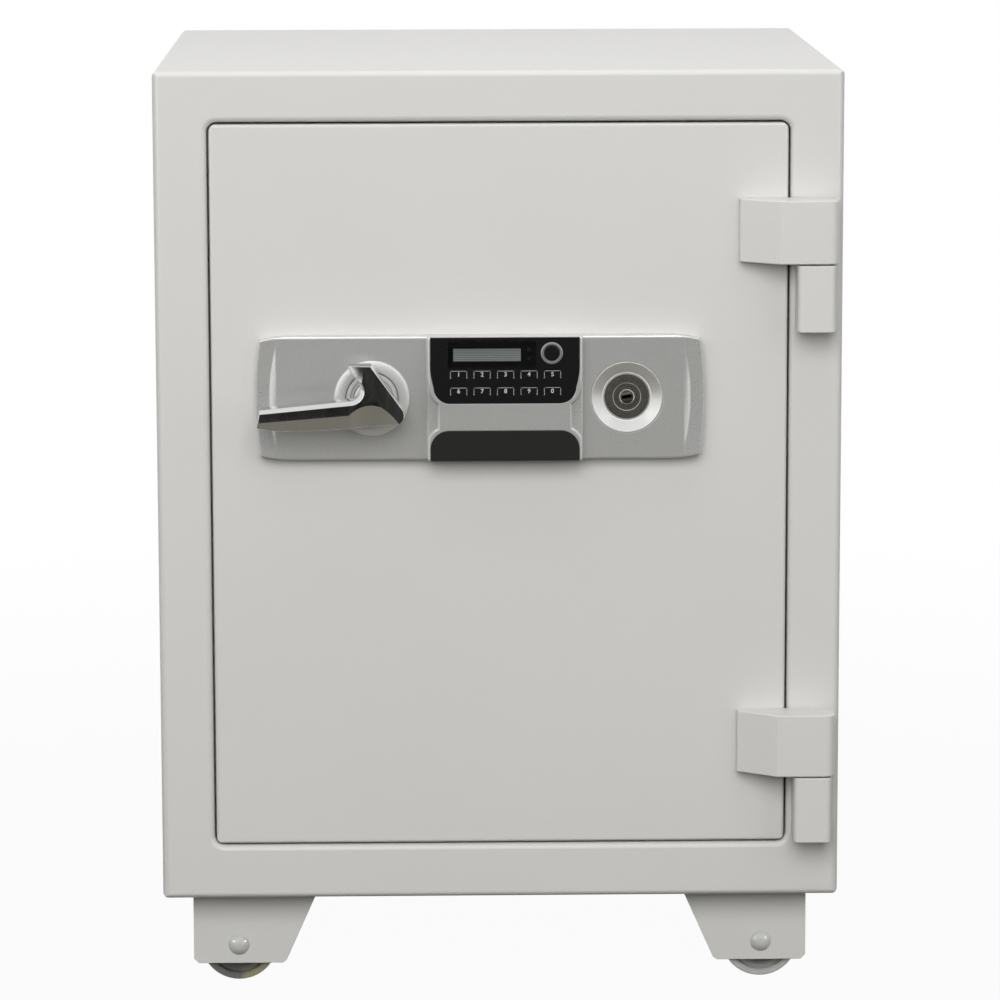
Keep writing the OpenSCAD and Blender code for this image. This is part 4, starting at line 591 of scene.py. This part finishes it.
def makeLamp(name, place, width, height, power):
    lamp = bpy.data.lights.new(name, "AREA")
    lamp.shape = "RECTANGLE"
    lamp.size, lamp.size_y, lamp.energy = width, height, power
    holder = bpy.data.objects.new(name, lamp)
    holder.location = place
    holder.rotation_euler = (Vector(studio["target"]) - Vector(place)).to_track_quat("-Z", "Y").to_euler()
    scene.collection.objects.link(holder)
    return holder


makeStudio(studio)
for name, (place, width, height, power, mirrored) in lamps.items():
    makeLamp(name, place, width, height, power).visible_glossy = mirrored
for piece, members in glints.items():
    reached = bpy.data.collections.new(piece + "Glints")
    reached.objects.link(bpy.data.objects[piece])
    for name, settings in members.items():
        makeLamp(name, *settings).light_linking.receiver_collection = reached

# Cards that only reflections see, glowing in their tones as painted reflections: a black one behind the camera, a
# dark and a grey one on the floor in front.
# "size" is half the width and half the height, and "tip" is 90 for a card that lies down.
cards = {
    "cameraCard": {"place": (0.35, -4.5, 1.0), "size": (2.7, 1.6), "tip": 0,
                   "inner": "#101010", "outer": "#4C4C4A"},
    "darkFloorCard": {"place": (0.25, -3.4, 0.01), "size": (2.3, 1.3), "tip": 90,
                      "inner": "#0D0D0C", "outer": "#403F3B"},
    "floorCard": {"place": (0, -0.9, 0.012), "size": (2.4, 1.5), "tip": 90,
                  "inner": "#827F74", "outer": "#9B998F"},
}
# Clouds that break up a card's tone, and where its edge starts to fade, as shares of its half size
cardCloud = {"scale": 1.7, "detail": 2.0, "span": (0.35, 0.65), "shift": 0.35, "fade": 0.8}


def makeCard(name, card):
    width, height = card["size"]
    work = bmesh.new()
    turn = Matrix.Rotation(math.radians(90 - card["tip"]), 4, "X")
    bmesh.ops.create_grid(work, x_segments=1, y_segments=1, size=1,
                          matrix=Matrix.Translation(card["place"]) @ turn @ Matrix.Diagonal((width, height, 1, 1)))
    mesh = bpy.data.meshes.new(name)
    work.to_mesh(mesh)
    work.free()
    sheet = bpy.data.objects.new(name, mesh)
    scene.collection.objects.link(sheet)
    reflectedGlowMaterial, tree = startMaterial(name + "Cloth")[:2]
    place = addNode(tree, "TexCoord").outputs["Object"]
    place = addNode(tree, "VectorMath", {0: place, 1: card["place"]}, operation="SUBTRACT").outputs[0]
    half = (width, height, 1.0) if card["tip"] else (width, 1.0, height)
    place = addNode(tree, "VectorMath", {0: place, 1: half}, operation="DIVIDE").outputs[0]
    away = addNode(tree, "VectorMath", {0: place}, operation="LENGTH").outputs["Value"]
    cloud = addNode(tree, "TexNoise", {"Vector": place, "Scale": cardCloud["scale"],
                                       "Detail": cardCloud["detail"]}).outputs[0]
    low, high = cardCloud["span"]
    patch = addNode(tree, "MapRange", {0: cloud, 1: low, 2: high, 3: -cardCloud["shift"],
                                       4: cardCloud["shift"]}).outputs[0]
    share = addNode(tree, "Math", {0: away, 1: patch}, operation="ADD", use_clamp=True).outputs[0]
    tone = addNode(tree, "Mix", {0: share, 6: hexColour(card["inner"]), 7: hexColour(card["outer"])},
                   data_type="RGBA").outputs[2]
    # the card glows in this tone: a painted reflection that only glossy rays see
    glow = addNode(tree, "Emission", {"Color": tone, "Strength": 1.0}).outputs[0]
    clear = addNode(tree, "BsdfTransparent").outputs[0]
    fade = addNode(tree, "MapRange", {0: away, 1: cardCloud["fade"], 2: 1.0, 3: 0.0, 4: 1.0}).outputs[0]
    both = addNode(tree, "MixShader", {0: fade, 1: glow, 2: clear})
    tree.links.new(both.outputs[0], tree.nodes["Material Output"].inputs["Surface"])
    mesh.materials.append(reflectedGlowMaterial)
    sheet.visible_camera = sheet.visible_diffuse = sheet.visible_shadow = False
    sheet.visible_transmission = sheet.visible_volume_scatter = False


for name, card in cards.items():
    makeCard(name, card)
print("studio made")

scene.view_settings.view_transform = "Standard"
